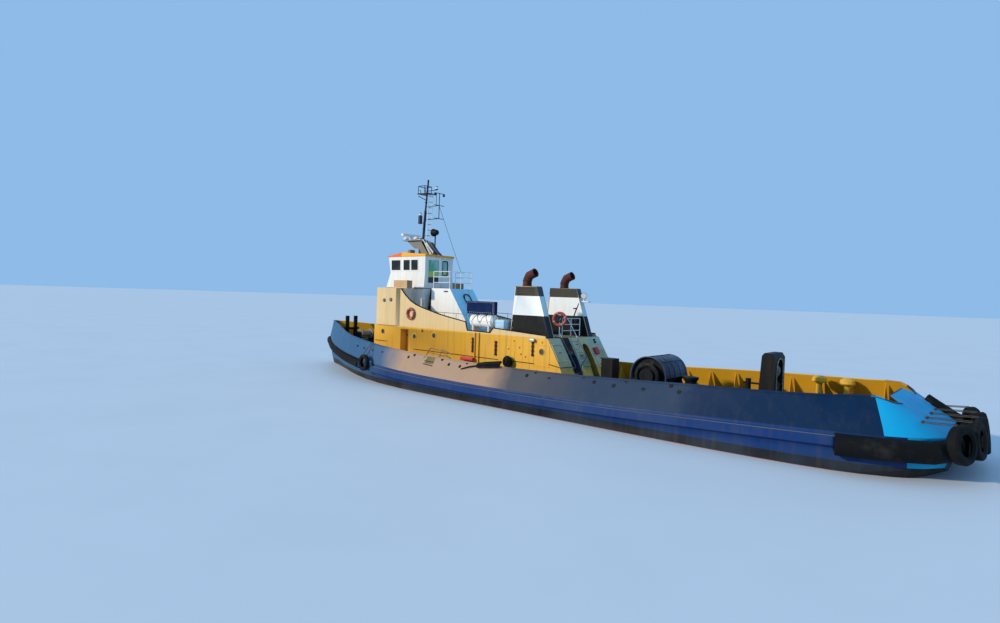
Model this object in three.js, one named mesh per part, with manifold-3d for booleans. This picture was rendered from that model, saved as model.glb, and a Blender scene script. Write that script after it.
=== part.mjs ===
// Twin-screw harbour tugboat, afloat at its light draught.
// Frame: +X to the bow, +Y to port, +Z up, in millimetres. The origin lies on the centreline,
// at mid length, on the waterline.

import * as THREE from 'three';
import Module from 'manifold-3d';
import { mergeVertices } from 'three/addons/utils/BufferGeometryUtils.js';

const wasm = await Module();
wasm.setup();

// Driving dimensions
const SEAT = 0.3;               // gap between pieces that rest on each other
const PIN_GAP = 0.5;            // end play of a turning piece at its bearing
const STERN_X = -17950;         // after end of the deck
const STEM_X = 18600;           // forward end of the deck
const HOUSE_HALF = 2250;        // half width of the deckhouse
const BOAT_DECK_Z = 3250;       // top of the deckhouse
const BRIDGE_Z = 5500;          // top of the bridge block, floor of the wheelhouse
const CABIN_HALF = 1200;        // half width of the wheelhouse at its base
const CABIN_TOP_Z = 7460;
const WALL = 60;                // thickness of the wheelhouse walls
const PLATE = 90;               // thickness of the bulwark with its inner flange
const STRAKE_OUT = 170;         // how far the rubbing strake stands out from the deck edge
const SHAFT_Y = 2000;           // propeller shafts and rudder stocks from the centreline
const SHAFT_Z = -2150;
const PROPELLER_X = -14600;
const PROPELLER_R = 1100;
const RUDDER_X = -16150;
const WINCH_X = -7300;
const WINCH_Z = 1930;
const ARCH_X = -12130;
const MAST_X = 8980;

// Solids from three.js geometry

function solidOf(geometry) {
  const plain = geometry.clone();
  plain.deleteAttribute('normal');
  plain.deleteAttribute('uv');
  const merged = mergeVertices(plain, 1e-3);
  const index = merged.index.array;
  const corners = [];
  for (let i = 0; i < index.length; i += 3) {
    const [a, b, c] = [index[i], index[i + 1], index[i + 2]];
    if (a !== b && b !== c && c !== a) corners.push(a, b, c);
  }
  return new wasm.Manifold(new wasm.Mesh({
    numProp: 3,
    vertProperties: new Float32Array(merged.attributes.position.array),
    triVerts: new Uint32Array(corners),
  }));
}

function geometryOf(solid) {
  const mesh = solid.getMesh();
  const geometry = new THREE.BufferGeometry();
  geometry.setAttribute('position', new THREE.BufferAttribute(mesh.vertProperties, 3));
  geometry.setIndex(new THREE.BufferAttribute(mesh.triVerts, 1));
  geometry.computeVertexNormals();
  return geometry;
}

const join = (first, ...rest) => rest.reduce((sum, next) => sum.add(next), first);
const cut = (first, ...rest) => rest.reduce((left, next) => left.subtract(next), first);
const moved = (solid, x, y, z) => solid.translate([x, y, z]);
const mirrored = (solid) => solid.mirror([0, 1, 0]);

function box([x0, x1], [y0, y1], [z0, z1]) {
  const geometry = new THREE.BoxGeometry(x1 - x0, y1 - y0, z1 - z0);
  geometry.translate((x0 + x1) / 2, (y0 + y1) / 2, (z0 + z1) / 2);
  return solidOf(geometry);
}

function shapeOf(points) {
  return new THREE.Shape(points.map(([a, b]) => new THREE.Vector2(a, b)));
}

const extruded = (shape, depth) =>
  new THREE.ExtrudeGeometry(shape, { depth, bevelEnabled: false, curveSegments: 5 });

// A side view outline (x, z) carried across from y0 to y1
function sideOutline(points, [y0, y1]) {
  const geometry = extruded(shapeOf(points), y1 - y0);
  geometry.rotateX(Math.PI / 2);
  geometry.translate(0, y1, 0);
  return solidOf(geometry);
}

// A plan outline (x, y) carried up from z0 to z1
function planOutline(shape, [z0, z1]) {
  const geometry = extruded(shape, z1 - z0);
  geometry.translate(0, 0, z0);
  return solidOf(geometry);
}

// An outline seen from the stern (y, z) carried forward from x0 to x1
function crossOutline(shape, [x0, x1]) {
  const geometry = extruded(shape, x1 - x0);
  geometry.applyMatrix4(new THREE.Matrix4().makeBasis(
    new THREE.Vector3(0, 1, 0), new THREE.Vector3(0, 0, 1), new THREE.Vector3(1, 0, 0)));
  geometry.translate(x0, 0, 0);
  return solidOf(geometry);
}

function roundedRectangle([x0, x1], [y0, y1], radius) {
  const shape = new THREE.Shape();
  shape.moveTo(x0 + radius, y0);
  shape.lineTo(x1 - radius, y0);
  shape.absarc(x1 - radius, y0 + radius, radius, -Math.PI / 2, 0);
  shape.lineTo(x1, y1 - radius);
  shape.absarc(x1 - radius, y1 - radius, radius, 0, Math.PI / 2);
  shape.lineTo(x0 + radius, y1);
  shape.absarc(x0 + radius, y1 - radius, radius, Math.PI / 2, Math.PI);
  shape.lineTo(x0, y0 + radius);
  shape.absarc(x0 + radius, y0 + radius, radius, Math.PI, Math.PI * 1.5);
  return shape;
}

// An opening with a straight foot and a round head, seen from the stern
function archShape(centreY, width, footZ, headZ) {
  const half = width / 2;
  const shape = new THREE.Shape();
  shape.moveTo(centreY - half, footZ);
  shape.lineTo(centreY + half, footZ);
  shape.lineTo(centreY + half, headZ - half);
  shape.absarc(centreY, headZ - half, half, 0, Math.PI);
  return shape;
}

function turnedTo(geometry, axis) {
  const up = new THREE.Vector3(0, 1, 0);
  const aim = new THREE.Vector3(...axis).normalize();
  return geometry.applyQuaternion(new THREE.Quaternion().setFromUnitVectors(up, aim));
}

function rod(from, to, radius, sides = 8) {
  const start = new THREE.Vector3(...from);
  const line = new THREE.Vector3(...to).sub(start);
  const geometry = new THREE.CylinderGeometry(radius, radius, line.length(), sides);
  geometry.translate(0, line.length() / 2, 0);
  turnedTo(geometry, line.toArray());
  geometry.translate(start.x, start.y, start.z);
  return solidOf(geometry);
}

// A profile of [radius, height along the axis] turned about the axis
function turning(profile, centre, axis, segments = 20) {
  const geometry = new THREE.LatheGeometry(profile.map(([r, h]) => new THREE.Vector2(r, h)), segments);
  turnedTo(geometry, axis);
  geometry.translate(...centre);
  const solid = solidOf(geometry);
  return solid.volume() > 0 ? solid : solidOf(flipped(geometry));
}

// A turning profile from its upper half, which starts on the axis
const symmetric = (half) => [...half.map(([r, h]) => [r, -h]), ...[...half].reverse()];

function flipped(geometry) {
  const index = geometry.index.array;
  for (let i = 0; i < index.length; i += 3) {
    [index[i + 1], index[i + 2]] = [index[i + 2], index[i + 1]];
  }
  return geometry;
}

function ring(major, minor, centre, axis, segments = 18, sides = 8) {
  const geometry = new THREE.TorusGeometry(major, minor, sides, segments);
  geometry.rotateX(Math.PI / 2);
  turnedTo(geometry, axis);
  geometry.translate(...centre);
  return solidOf(geometry);
}

// A round bar bent along a smooth line
function bentBar(points, radius, steps, sides = 10) {
  const section = new THREE.Shape();
  for (let i = 0; i < sides; i++) {
    const angle = (i / sides) * Math.PI * 2;
    const point = [radius * Math.cos(angle), radius * Math.sin(angle)];
    if (i === 0) section.moveTo(...point);
    else section.lineTo(...point);
  }
  const path = new THREE.CatmullRomCurve3(points.map((point) => new THREE.Vector3(...point)));
  const geometry = new THREE.ExtrudeGeometry(section, { steps, extrudePath: path, curveSegments: 1 });
  const solid = solidOf(geometry);
  return solid.volume() > 0 ? solid : solidOf(flipped(mergeVertices(geometry)));
}

// Skin over closed rings that all have the same number of points, with flat ends
function loft(rings) {
  const count = rings[0].length;
  const points = rings.flat();
  const triangles = [];
  for (let i = 0; i + 1 < rings.length; i++) {
    for (let j = 0; j < count; j++) {
      const k = (j + 1) % count;
      const [a, b, c, d] = [i * count + j, i * count + k, (i + 1) * count + k, (i + 1) * count + j];
      triangles.push(a, b, c, a, c, d);
    }
  }
  for (const [end, turn] of [[0, 1], [rings.length - 1, 0]]) {
    const centre = points.length;
    points.push([0, 1, 2].map((axis) => rings[end].reduce((sum, p) => sum + p[axis], 0) / count));
    for (let j = 0; j < count; j++) {
      const [a, b] = [end * count + j, end * count + ((j + 1) % count)];
      triangles.push(...(turn ? [centre, b, a] : [centre, a, b]));
    }
  }
  const geometry = new THREE.BufferGeometry();
  geometry.setAttribute('position', new THREE.Float32BufferAttribute(points.flat(), 3));
  geometry.setIndex(triangles);
  const solid = solidOf(geometry);
  return solid.volume() > 0 ? solid : solidOf(flipped(geometry));
}

// The hull's lines: one row for each station.
const HULL_COLUMNS = [
  'x', 'deckZ', 'deckHalf', 'sideZ', 'sideHalf', 'bilgeZ', 'bilgeHalf', 'keelZ', 'keelHalf',
];
const HULL_LINES = [
  [STERN_X, 1300, 2300, 500, 2150, 180, 1700, 20, 900],
  [-17500, 1300, 2900, 380, 2750, 20, 2200, -180, 1000],
  [-16700, 1290, 3400, 200, 3280, -180, 2700, -400, 1000],
  [-15200, 1270, 3850, 0, 3750, -420, 3150, -680, 900],
  [-13000, 1220, 4100, -250, 4030, -900, 3350, -1300, 700],
  [-10000, 1110, 4200, -600, 4170, -1950, 3450, -2550, 500],
  [-7000, 1000, 4200, -850, 4200, -2600, 3400, -3200, 400],
  [-2000, 910, 4200, -900, 4200, -2800, 3300, -3300, 300],
  [4000, 930, 4200, -900, 4130, -2780, 3050, -3300, 250],
  [8000, 1090, 4130, -600, 3680, -2650, 2400, -3300, 200],
  [11500, 1420, 3640, -250, 2720, -2450, 1500, -3200, 170],
  [14500, 1700, 2600, 0, 1600, -2150, 720, -3000, 150],
  [16700, 1860, 1390, 350, 740, -1500, 310, -2250, 120],
  [17800, 1950, 720, 850, 360, -300, 180, -900, 90],
  [STEM_X, 2000, 210, 1300, 120, 900, 90, 650, 60],
];
const lines = new THREE.CubicInterpolant(
  HULL_LINES.map((row) => row[0]), HULL_LINES.flat(), HULL_COLUMNS.length);

function linesAt(x) {
  const row = lines.evaluate(x);
  return Object.fromEntries(HULL_COLUMNS.map((name, i) => [name, row[i]]));
}

// Every table station and the point half way to the next
const STATIONS = HULL_LINES.flatMap(([x], i) =>
  (i + 1 < HULL_LINES.length ? [x, (x + HULL_LINES[i + 1][0]) / 2] : [x]));

const deckZAt = (x) => linesAt(x).deckZ;

function halfSection(x) {
  const l = linesAt(x);
  return [
    [l.deckHalf, l.deckZ],
    [(l.deckHalf + l.sideHalf) / 2, (l.deckZ + l.sideZ) / 2],
    [l.sideHalf, l.sideZ],
    [l.bilgeHalf + (l.sideHalf - l.bilgeHalf) * 0.72, l.bilgeZ + (l.sideZ - l.bilgeZ) * 0.3],
    [l.bilgeHalf, l.bilgeZ],
    [l.keelHalf, l.keelZ],
  ];
}

function hullForm() {
  const rings = STATIONS.map((x) => {
    const port = halfSection(x).map(([y, z]) => [x, y, z]);
    const starboard = port.map(([, y, z]) => [x, -y, z]).reverse();
    return [...port, ...starboard];
  });
  return loft(rings);
}

// The belt of steel that runs round the hull just under the deck edge
function rubbingStrake() {
  const depth = { top: 130, bottom: 430, out: STRAKE_OUT };
  const rings = STATIONS.filter((x) => x > -17000 && x < 10000).map((x) => {
    const { deckZ, deckHalf } = linesAt(x);
    const half = deckHalf + depth.out;
    const [top, bottom] = [deckZ - depth.top, deckZ - depth.bottom];
    return [[x, half, top], [x, half, bottom], [x, -half, bottom], [x, -half, top]];
  });
  return loft(rings);
}

function hullSolid() {
  const skeg = sideOutline([[-15600, -3300], [-8000, -3300], [-7000, -2900], [-9000, -1500], [-15600, -400]],
    [-160, 160]);
  const barKeel = box([-8000, 13000], [-120, 120], [-3480, -3100]);
  const bilgeKeel = sideOutline([[-5000, -300], [4500, -300], [4900, 400], [-5400, 400]], [-20, 20]);
  const portBilgeKeel = moved(bilgeKeel.rotate([41, 0, 0]), 0, 3560, -2510);
  const bosses = [1, -1].map((side) =>
    rod([RUDDER_X, side * SHAFT_Y, -1000], [RUDDER_X, side * SHAFT_Y, 200], 210, 14));
  return join(hullForm(), rubbingStrake(), skeg, barKeel, portBilgeKeel, mirrored(portBilgeKeel), ...bosses);
}

// Bow and stern fenders lie half bedded in the hull.
function fenderLine(rows, radius) {
  return (extra) => {
    const [first, second] = rows.map((row) => new THREE.Vector3(...row));
    const end = first.clone().sub(second).setLength(extra + 1e-6).add(first);
    const port = [end.toArray(), ...rows.slice(1)];
    const starboard = port.slice(0, -1).map(([x, y, z]) => [x, -y, z]).reverse();
    return bentBar([...port, ...starboard], radius + extra, 32);
  };
}
const bowFender = fenderLine([
  [9700, 3960, 940], [11500, 3590, 1120], [13200, 3050, 1300], [15000, 2260, 1450],
  [16700, 1300, 1580], [17900, 620, 1660], [18680, 0, 1700],
], 260);
const sternFender = fenderLine([
  [-15300, 4000, 900], [-16700, 3560, 900], [-17700, 2900, 900], [-18150, 1900, 900], [-18350, 0, 900],
], 350);

// Half the section of a tyre as shares of its radius and width: bead, wall, tread, then the hollow
const TYRE_HALF = [[0.56, 0.30], [0.70, 0.50], [0.94, 0.46], [1, 0.26]];
const TYRE_HOLLOW = [[0.80, 0.24], [0.66, 0.24]];

function tyre(radius, width, centre, axis) {
  const lower = TYRE_HALF.map(([r, h]) => [r, -h]);
  const upper = [...TYRE_HALF].reverse();
  const hollow = [...TYRE_HOLLOW].reverse().concat(TYRE_HOLLOW.map(([r, h]) => [r, -h]));
  const profile = [...lower, ...upper, ...hollow, lower[0]].map(([r, h]) => [r * radius, h * width]);
  return turning(profile, centre, axis, 16);
}

// Tyres lashed along the stern fender, each with the way it faces
const STERN_TYRE = { radius: 600, width: 330, z: 1180, lean: 0.12 };
const STERN_TYRE_ROWS = [
  // x, y, facing x, facing y
  [-18370, 2430, -0.93, 0.37],
  [-18665, 1250, -0.99, 0.16],
  [-18760, 0, -1, 0],
  [-18665, -1250, -0.99, -0.16],
  [-18370, -2430, -0.93, -0.37],
];

const bareHull = hullSolid();
const hull = cut(bareHull, bowFender(SEAT), sternFender(SEAT));
const sternTyres = STERN_TYRE_ROWS.map(([x, y, facingX, facingY]) =>
  tyre(STERN_TYRE.radius, STERN_TYRE.width, [x, y, STERN_TYRE.z], [facingX, facingY, STERN_TYRE.lean]));
const sternBumper = join(sternFender(0), ...sternTyres.map((one) => cut(one, moved(bareHull, -SEAT, 0, 0))));
const hullRaised = moved(bareHull, 0, 0, SEAT);
const hullLowered = moved(bareHull, 0, 0, -SEAT);

// Whatever stands on the deck reaches down through it and is trimmed to the plating.
const onDeck = (solid) => cut(solid, hullRaised);
const underHull = (solid) => cut(solid, hullLowered);

// The bulwark leans inboard. Each row gives where the top edge lies for a station of the deck edge.
const BULWARK_COLUMNS = ['x', 'topX', 'topHalf', 'topZ'];
const BULWARK_LINES = [
  [STERN_X, -16700, 1600, 2110],
  [-17500, -16550, 2250, 2190],
  [-16700, -16100, 2640, 2380],
  [-15200, -15000, 3050, 2310],
  [-13000, -12950, 3480, 2220],
  [-10000, -10000, 3600, 2120],
  [-7000, -7000, 3610, 1970],
  [-2000, -2000, 3620, 1840],
  [4000, 4000, 3680, 1920],
  [8000, 8000, 3740, 2140],
  [11500, 11450, 3440, 2510],
  [14500, 14350, 2170, 2790],
  [16700, 16450, 1080, 2950],
  [17800, 17520, 560, 3000],
  [STEM_X, 18300, 160, 3030],
];
const bulwarkLines = new THREE.CubicInterpolant(
  BULWARK_LINES.map((row) => row[0]), BULWARK_LINES.flat(), BULWARK_COLUMNS.length);

function bulwarkForm(inset, lowest, highest) {
  const ends = { aft: STERN_X + inset, fore: STEM_X - inset * 2.5 };
  const rings = STATIONS.map((station) => {
    const x = Math.min(Math.max(station, STERN_X), STEM_X);
    const { deckHalf, deckZ } = linesAt(x);
    const [, topX, topHalf, topZ] = bulwarkLines.evaluate(x);
    const shift = x === STERN_X ? inset : x === STEM_X ? -inset * 2.5 : 0;
    const at = (part) => [
      x + shift + (topX - x) * part,
      Math.max(deckHalf - inset + (topHalf - deckHalf) * part, 60),
      deckZ + SEAT + (topZ - deckZ) * part,
    ];
    const [low, high] = [at(lowest), at(highest)];
    return [low, high, [high[0], -high[1], high[2]], [low[0], -low[1], low[2]]];
  });
  return loft(rings);
}

const bulwark = cut(bulwarkForm(0, 0, 1), bulwarkForm(PLATE, -0.3, 1.3));
const portHalf = box([-20000, 20000], [SEAT / 2, 6000], [-6000, 6000]);
const bulwarkPort = bulwark.intersect(portHalf);
const bulwarkStarboard = mirrored(bulwarkPort);

// Propulsion: propeller, nozzle with the shaft bearing, and rudder

function propellerBlade(angle) {
  const sections = [[150, 420, 60, 62], [520, 620, 45, 42], [860, 640, 32, 28], [PROPELLER_R, 360, 16, 22]];
  const rings = sections.map(([radius, chord, thick, pitch]) => {
    const turn = THREE.MathUtils.degToRad(pitch);
    const corners = [[-1, -1], [1, -1], [1, 1], [-1, 1]].map(([a, b]) => [a * chord / 2, b * thick / 2]);
    return corners.map(([along, across]) => [
      along * Math.sin(turn) * 0.6 + across * Math.cos(turn),
      along * Math.cos(turn) - across * Math.sin(turn),
      radius,
    ]);
  });
  return loft(rings).rotate([angle, 0, 0]);
}

function propeller(side) {
  const hub = turning([[0, -240], [120, -230], [190, -60], [190, 230], [0, 230]], [0, 0, 0], [1, 0, 0], 18);
  const blades = [0, 90, 180, 270].map((angle) => propellerBlade(angle));
  const wheel = join(hub, ...blades);
  return moved(side > 0 ? wheel : mirrored(wheel), PROPELLER_X, side * SHAFT_Y, SHAFT_Z);
}

function nozzle(side) {
  const centre = [PROPELLER_X, SHAFT_Y, SHAFT_Z];
  const ringProfile = [
    [1150, -600], [1190, -600], [1290, -560], [1400, 300], [1380, 560], [1280, 600],
    [1180, 500], [1150, 200], [1150, -600],
  ];
  const duct = turning(ringProfile, centre, [1, 0, 0], 22);
  const headbox = box([-15050, -14150], [SHAFT_Y - 260, SHAFT_Y + 260], [SHAFT_Z + 1200, 100]);
  const barrelEnd = PROPELLER_X + 230 + PIN_GAP;
  const barrel = rod([barrelEnd, SHAFT_Y, SHAFT_Z], [-9000, SHAFT_Y, SHAFT_Z], 185, 14);
  const struts = [35, 145, 270].map((angle) =>
    moved(box([-120, 120], [0, 1250], [-35, 35]).rotate([angle, 0, 0]), -14160, SHAFT_Y, SHAFT_Z));
  const port = underHull(join(duct, headbox, barrel, ...struts));
  return side > 0 ? port : mirrored(port);
}

function rudder(side) {
  const outline = roundedRectangle([RUDDER_X - 1050, RUDDER_X + 480], [-110, 110], 100);
  const blade = planOutline(outline, [-3250, -1180]);
  const stock = rod([RUDDER_X, 0, -1300], [RUDDER_X, 0, -1000 - PIN_GAP], 120, 14);
  return moved(join(blade, stock), 0, side * SHAFT_Y, 0);
}

// Doors: a leaf in the local frame, foot corner at the origin, width along +X, outside at +Y.
// The hinge line stands beside the foot corner, a little outside the leaf.
const HINGE = { aside: 12, out: 26, radius: 22, height: 70, toWall: 30 };
const LEAF_START = HINGE.aside + HINGE.toWall;
const LEAF_END = 14;             // clearance at the free edge

const hingePin = (z) =>
  rod([-HINGE.aside, HINGE.out, z], [-HINGE.aside, HINGE.out, z + HINGE.height], HINGE.radius, 8);

function leafAndBarrels(width, height, thick, rounded) {
  const shape = roundedRectangle([0, width], [0, height], rounded);
  const geometry = extruded(shape, thick);
  geometry.rotateX(Math.PI / 2);
  const leaf = solidOf(geometry);
  const barrels = [0.18, 0.82].map((part) => {
    const z = height * part;
    const strap = box([-HINGE.aside, 90], [-6, HINGE.out], [z + 8, z + HINGE.height - 8]);
    return join(hingePin(z), strap);
  });
  return join(leaf, ...barrels);
}

function frameKnuckles(height, reach) {
  return [0.18, 0.82].map((part) => {
    const z = height * part - PIN_GAP - HINGE.height;
    const lug = box([-HINGE.aside - reach, -HINGE.aside], [HINGE.out - 14, HINGE.out + 14],
      [z + 8, z + HINGE.height - 8]);
    return join(hingePin(z), lug);
  });
}

// Puts a local door solid in place: along is the direction of its width, up that of its height.
function placed(solid, origin, along, up) {
  const x = new THREE.Vector3(...along).normalize();
  const z = new THREE.Vector3(...up).normalize();
  const y = new THREE.Vector3().crossVectors(z, x);
  const matrix = new THREE.Matrix4().makeBasis(x, y, z).setPosition(...origin);
  return solid.transform(matrix.toArray());
}

// Deckhouse
const AFT_FACE = [[-4000, 700], [-3350, 2120], [-2670, BOAT_DECK_Z]];

const SIDE_DOOR = { x0: 7450, x1: 8170, sill: 1250, head: 3080, depth: 520, thick: 50 };
const AFT_DOOR = { y: -590, width: 500, sill: 1130, head: 2950, backX: -2200, thick: 50 };
const STAIR = { y0: 560, y1: 1220, treads: 7 };

function sideDoorParts() {
  const width = SIDE_DOOR.x1 - SIDE_DOOR.x0 - LEAF_START - LEAF_END;
  const height = SIDE_DOOR.head - SIDE_DOOR.sill - 30;
  const faceY = HOUSE_HALF - SIDE_DOOR.depth + SIDE_DOOR.thick + 6;
  const origin = [SIDE_DOOR.x1 - LEAF_START, faceY, SIDE_DOOR.sill + 12];
  const place = (solid) => placed(mirroredAcross(solid), origin, [-1, 0, 0], [0, 0, 1]);
  return {
    leaf: place(leafAndBarrels(width, height, SIDE_DOOR.thick, 90)),
    knuckles: frameKnuckles(height, 40).map(place),
  };
}

// A leaf whose width runs along −X still needs its outside at +Y
const mirroredAcross = (solid) => solid.mirror([0, 1, 0]);

function aftDoorParts() {
  const width = AFT_DOOR.width - LEAF_START - LEAF_END;
  const height = AFT_DOOR.head - AFT_DOOR.sill - 172;
  const footY = AFT_DOOR.y - AFT_DOOR.width / 2 + LEAF_START;
  const origin = [AFT_DOOR.backX - AFT_DOOR.thick - 6, footY, AFT_DOOR.sill + 12];
  const place = (solid) => placed(solid, origin, [0, 1, 0], [0, 0, 1]);
  return {
    leaf: place(leafAndBarrels(width, height, AFT_DOOR.thick, 210)),
    knuckles: frameKnuckles(height, 40).map(place),
  };
}

const sideDoor = sideDoorParts();
const aftDoor = aftDoorParts();

function stairTreads() {
  const rise = (BOAT_DECK_Z - 1000) / (STAIR.treads + 1);
  return Array.from({ length: STAIR.treads }, (_, i) => {
    const z = 1000 + rise * (i + 1);
    const x = -3700 + i * 235;
    return box([x, x + 290], [STAIR.y0 - 20, STAIR.y1 + 20], [z - 45, z]);
  });
}

function deckhouse() {
  const outline = [...AFT_FACE, [11100, BOAT_DECK_Z], [10950, 700]];
  const plan = new THREE.Shape();
  plan.moveTo(-4200, -HOUSE_HALF);
  plan.lineTo(10500, -HOUSE_HALF);
  plan.quadraticCurveTo(11050, -HOUSE_HALF, 11050, -1500);
  plan.lineTo(11200, 0);
  plan.lineTo(11050, 1500);
  plan.quadraticCurveTo(11050, HOUSE_HALF, 10500, HOUSE_HALF);
  plan.lineTo(-4200, HOUSE_HALF);
  const block = sideOutline(outline, [-HOUSE_HALF, HOUSE_HALF]).intersect(planOutline(plan, [500, 3400]));
  const sideRecess = box([SIDE_DOOR.x0, SIDE_DOOR.x1], [HOUSE_HALF - SIDE_DOOR.depth, 3000],
    [SIDE_DOOR.sill, SIDE_DOOR.head]);
  const stairSlope = [[-5000, 950], [-3000, 950], [-1700, 3400], [-5000, 3400]];
  const stairWell = sideOutline(stairSlope, [STAIR.y0, STAIR.y1]);
  const doorRecess = crossOutline(archShape(AFT_DOOR.y, AFT_DOOR.width, AFT_DOOR.sill, AFT_DOOR.head),
    [-5000, AFT_DOOR.backX]);
  const hollowed = cut(block, sideRecess, mirrored(sideRecess), stairWell, doorRecess);
  const cradles = [1250, 2350].flatMap((x) => [1, -1].map((side) => raftCradle(x, side)));
  const knuckles = [...sideDoor.knuckles, ...sideDoor.knuckles.map(mirrored), ...aftDoor.knuckles];
  return onDeck(join(hollowed, ...stairTreads(), ...cradles, ...knuckles));
}

const RAFT = { x0: 950, x1: 2650, y: 1900, z: 3880, radius: 340 };

function raftCradle(x, side) {
  const outer = box([x - 50, x + 50], [RAFT.y - 265, RAFT.y + 265], [BOAT_DECK_Z - 20, RAFT.z - 180]);
  const bed = rod([x - 60, RAFT.y, RAFT.z], [x + 60, RAFT.y, RAFT.z], RAFT.radius + SEAT, 24);
  const cradle = cut(outer, bed);
  return side > 0 ? cradle : mirrored(cradle);
}

function liferaft(side) {
  const profile = [
    [0, RAFT.x0], [200, RAFT.x0], [RAFT.radius, RAFT.x0 + 130],
    [RAFT.radius, RAFT.x1 - 130], [200, RAFT.x1], [0, RAFT.x1],
  ];
  return turning(profile, [0, side * RAFT.y, RAFT.z], [1, 0, 0], 24);
}

const houseRaised = moved(deckhouse(), 0, 0, SEAT);
const onHouse = (solid) => cut(solid, houseRaised);

// The side screens stand on the deckhouse edge and sweep down from the bridge.
function sideScreen(side) {
  const foot = BOAT_DECK_Z + SEAT;
  const sweep = [
    [8290, 5480], [7830, 5070], [7360, 4760], [6910, 4560], [6460, 4430], [5800, 4280], [4950, 4090],
    [4080, 3950], [2830, 3770], [2690, 3320], [1010, 3300], [800, 3550], [-2480, 3380], [-2560, foot],
  ];
  const screen = sideOutline([[8290, foot], ...sweep], [HOUSE_HALF - 70, HOUSE_HALF]);
  return side > 0 ? screen : mirrored(screen);
}

// Bridge block: the high fore part with a bowed front and rounded after corners. The boxes
// of the side lights stand on its wings.
function bridgeBlock() {
  const half = 2350;
  const plan = new THREE.Shape();
  plan.moveTo(8300 + 450, -half);
  plan.lineTo(10100, -half);
  plan.quadraticCurveTo(10750, -half, 10900, -1700);
  plan.quadraticCurveTo(11150, 0, 10900, 1700);
  plan.quadraticCurveTo(10750, half, 10100, half);
  plan.lineTo(8300 + 450, half);
  plan.quadraticCurveTo(8300 + SEAT, half, 8300 + SEAT, half - 450);
  plan.lineTo(8300 + SEAT, -half + 450);
  plan.quadraticCurveTo(8300 + SEAT, -half, 8300 + 450, -half);
  const block = planOutline(plan, [BOAT_DECK_Z + SEAT, BRIDGE_Z]);
  const lampBox = box([7600, 8820], [1950, half - 10], [BRIDGE_Z - 10, BRIDGE_Z + 455]);
  return join(block, lampBox, mirrored(lampBox));
}

const TRUNK_X = 7420;
const wheelhouseTrunk = box([TRUNK_X, 8300 - SEAT], [-1150, 1150], [BOAT_DECK_Z + SEAT, BRIDGE_Z]);

// Companion casing abaft the wheelhouse, its door on the sloping after face
const CASING_SLOPE = [[4140, 3820], [5440, 5550]];
const CASING_DOOR = { width: 620, height: 1500, thick: 45 };

function casingDoorPlace(solid) {
  const [[x0, z0], [x1, z1]] = CASING_SLOPE;
  const up = new THREE.Vector3(x1 - x0, 0, z1 - z0).normalize();
  const outward = new THREE.Vector3(-up.z, 0, up.x);
  const foot = new THREE.Vector3(x0, -330, z0);
  foot.addScaledVector(up, 280).addScaledVector(outward, CASING_DOOR.thick + 6);
  return placed(solid, foot.toArray(), [0, 1, 0], up.toArray());
}

const casingDoor = casingDoorPlace(
  leafAndBarrels(CASING_DOOR.width, CASING_DOOR.height, CASING_DOOR.thick, 200));

function casing() {
  const footZ = BOAT_DECK_Z + SEAT;
  const outline = [[7000, footZ], [7000, 5550], ...[...CASING_SLOPE].reverse(), [3950, footZ]];
  const block = sideOutline(outline, [-950, 950]);
  const knuckles = frameKnuckles(CASING_DOOR.height, 0).map((knuckle, i) => {
    const z = CASING_DOOR.height * [0.18, 0.82][i] - PIN_GAP;
    const foot = box([-HINGE.aside - 18, -HINGE.aside + 6], [-CASING_DOOR.thick - 30, HINGE.out],
      [z - HINGE.height + 8, z - 8]);
    return casingDoorPlace(join(knuckle, foot));
  });
  return join(block, ...knuckles);
}

// Wheelhouse: hollow, walls leaning in to a knuckle and out again to the roof
const CABIN_LEVELS = [
  // z, after face x, fore face x, half width
  [BRIDGE_Z + 50, 7430, 10980, CABIN_HALF],
  [6470, 7430, 10680, 1130],
  [CABIN_TOP_Z, 7420, 10880, 1160],
];

function cabinForm(inset, rise) {
  const rings = CABIN_LEVELS.map(([z, aft, fore, half], i) => {
    const level = z + rise * (i - 1);
    const [a, f, h] = [aft + inset, fore - inset, half - inset];
    return [[a, -h, level], [f, -h, level], [f, h, level], [a, h, level]];
  });
  return loft(rings);
}

const SPLIT_Y = 1040;
const cabinShell = cut(cabinForm(0, 0), cabinForm(WALL, 200));

function cabinFront() {
  const region = box([9000, 12000], [-SPLIT_Y + SEAT, SPLIT_Y - SEAT], [5000, 8000]);
  const spans = [[-980, -370], [-300, 300], [370, 980]];
  const panes = spans.map((span) => box([9500, 12000], span, [6600, 7270]));
  return cut(cabinShell.intersect(region), ...panes);
}

function cabinSide(side) {
  const region = box([5000, 12000], [SPLIT_Y, 3000], [5000, 8000]);
  const spans = [[9700, 10600], [8800, 9440], [8060, 8710]];
  const panes = spans.map((span) => box(span, [900, 2000], [6600, 7260]));
  const port = cut(cabinShell.intersect(region), ...panes);
  return side > 0 ? port : mirrored(port);
}

const CABIN_DOOR = { y0: -820, width: 640, sill: BRIDGE_Z + 110, height: 1760, thick: 45 };

function cabinDoorPlace(solid) {
  return placed(solid, [7430 - 6, CABIN_DOOR.y0, CABIN_DOOR.sill], [0, 1, 0], [0, 0, 1]);
}

function cabinDoor() {
  const leaf = leafAndBarrels(CABIN_DOOR.width, CABIN_DOOR.height, CABIN_DOOR.thick, 60);
  const pane = box([120, CABIN_DOOR.width - 110], [-200, 200], [760, CABIN_DOOR.height - 130]);
  return cabinDoorPlace(cut(leaf, pane));
}

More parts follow.
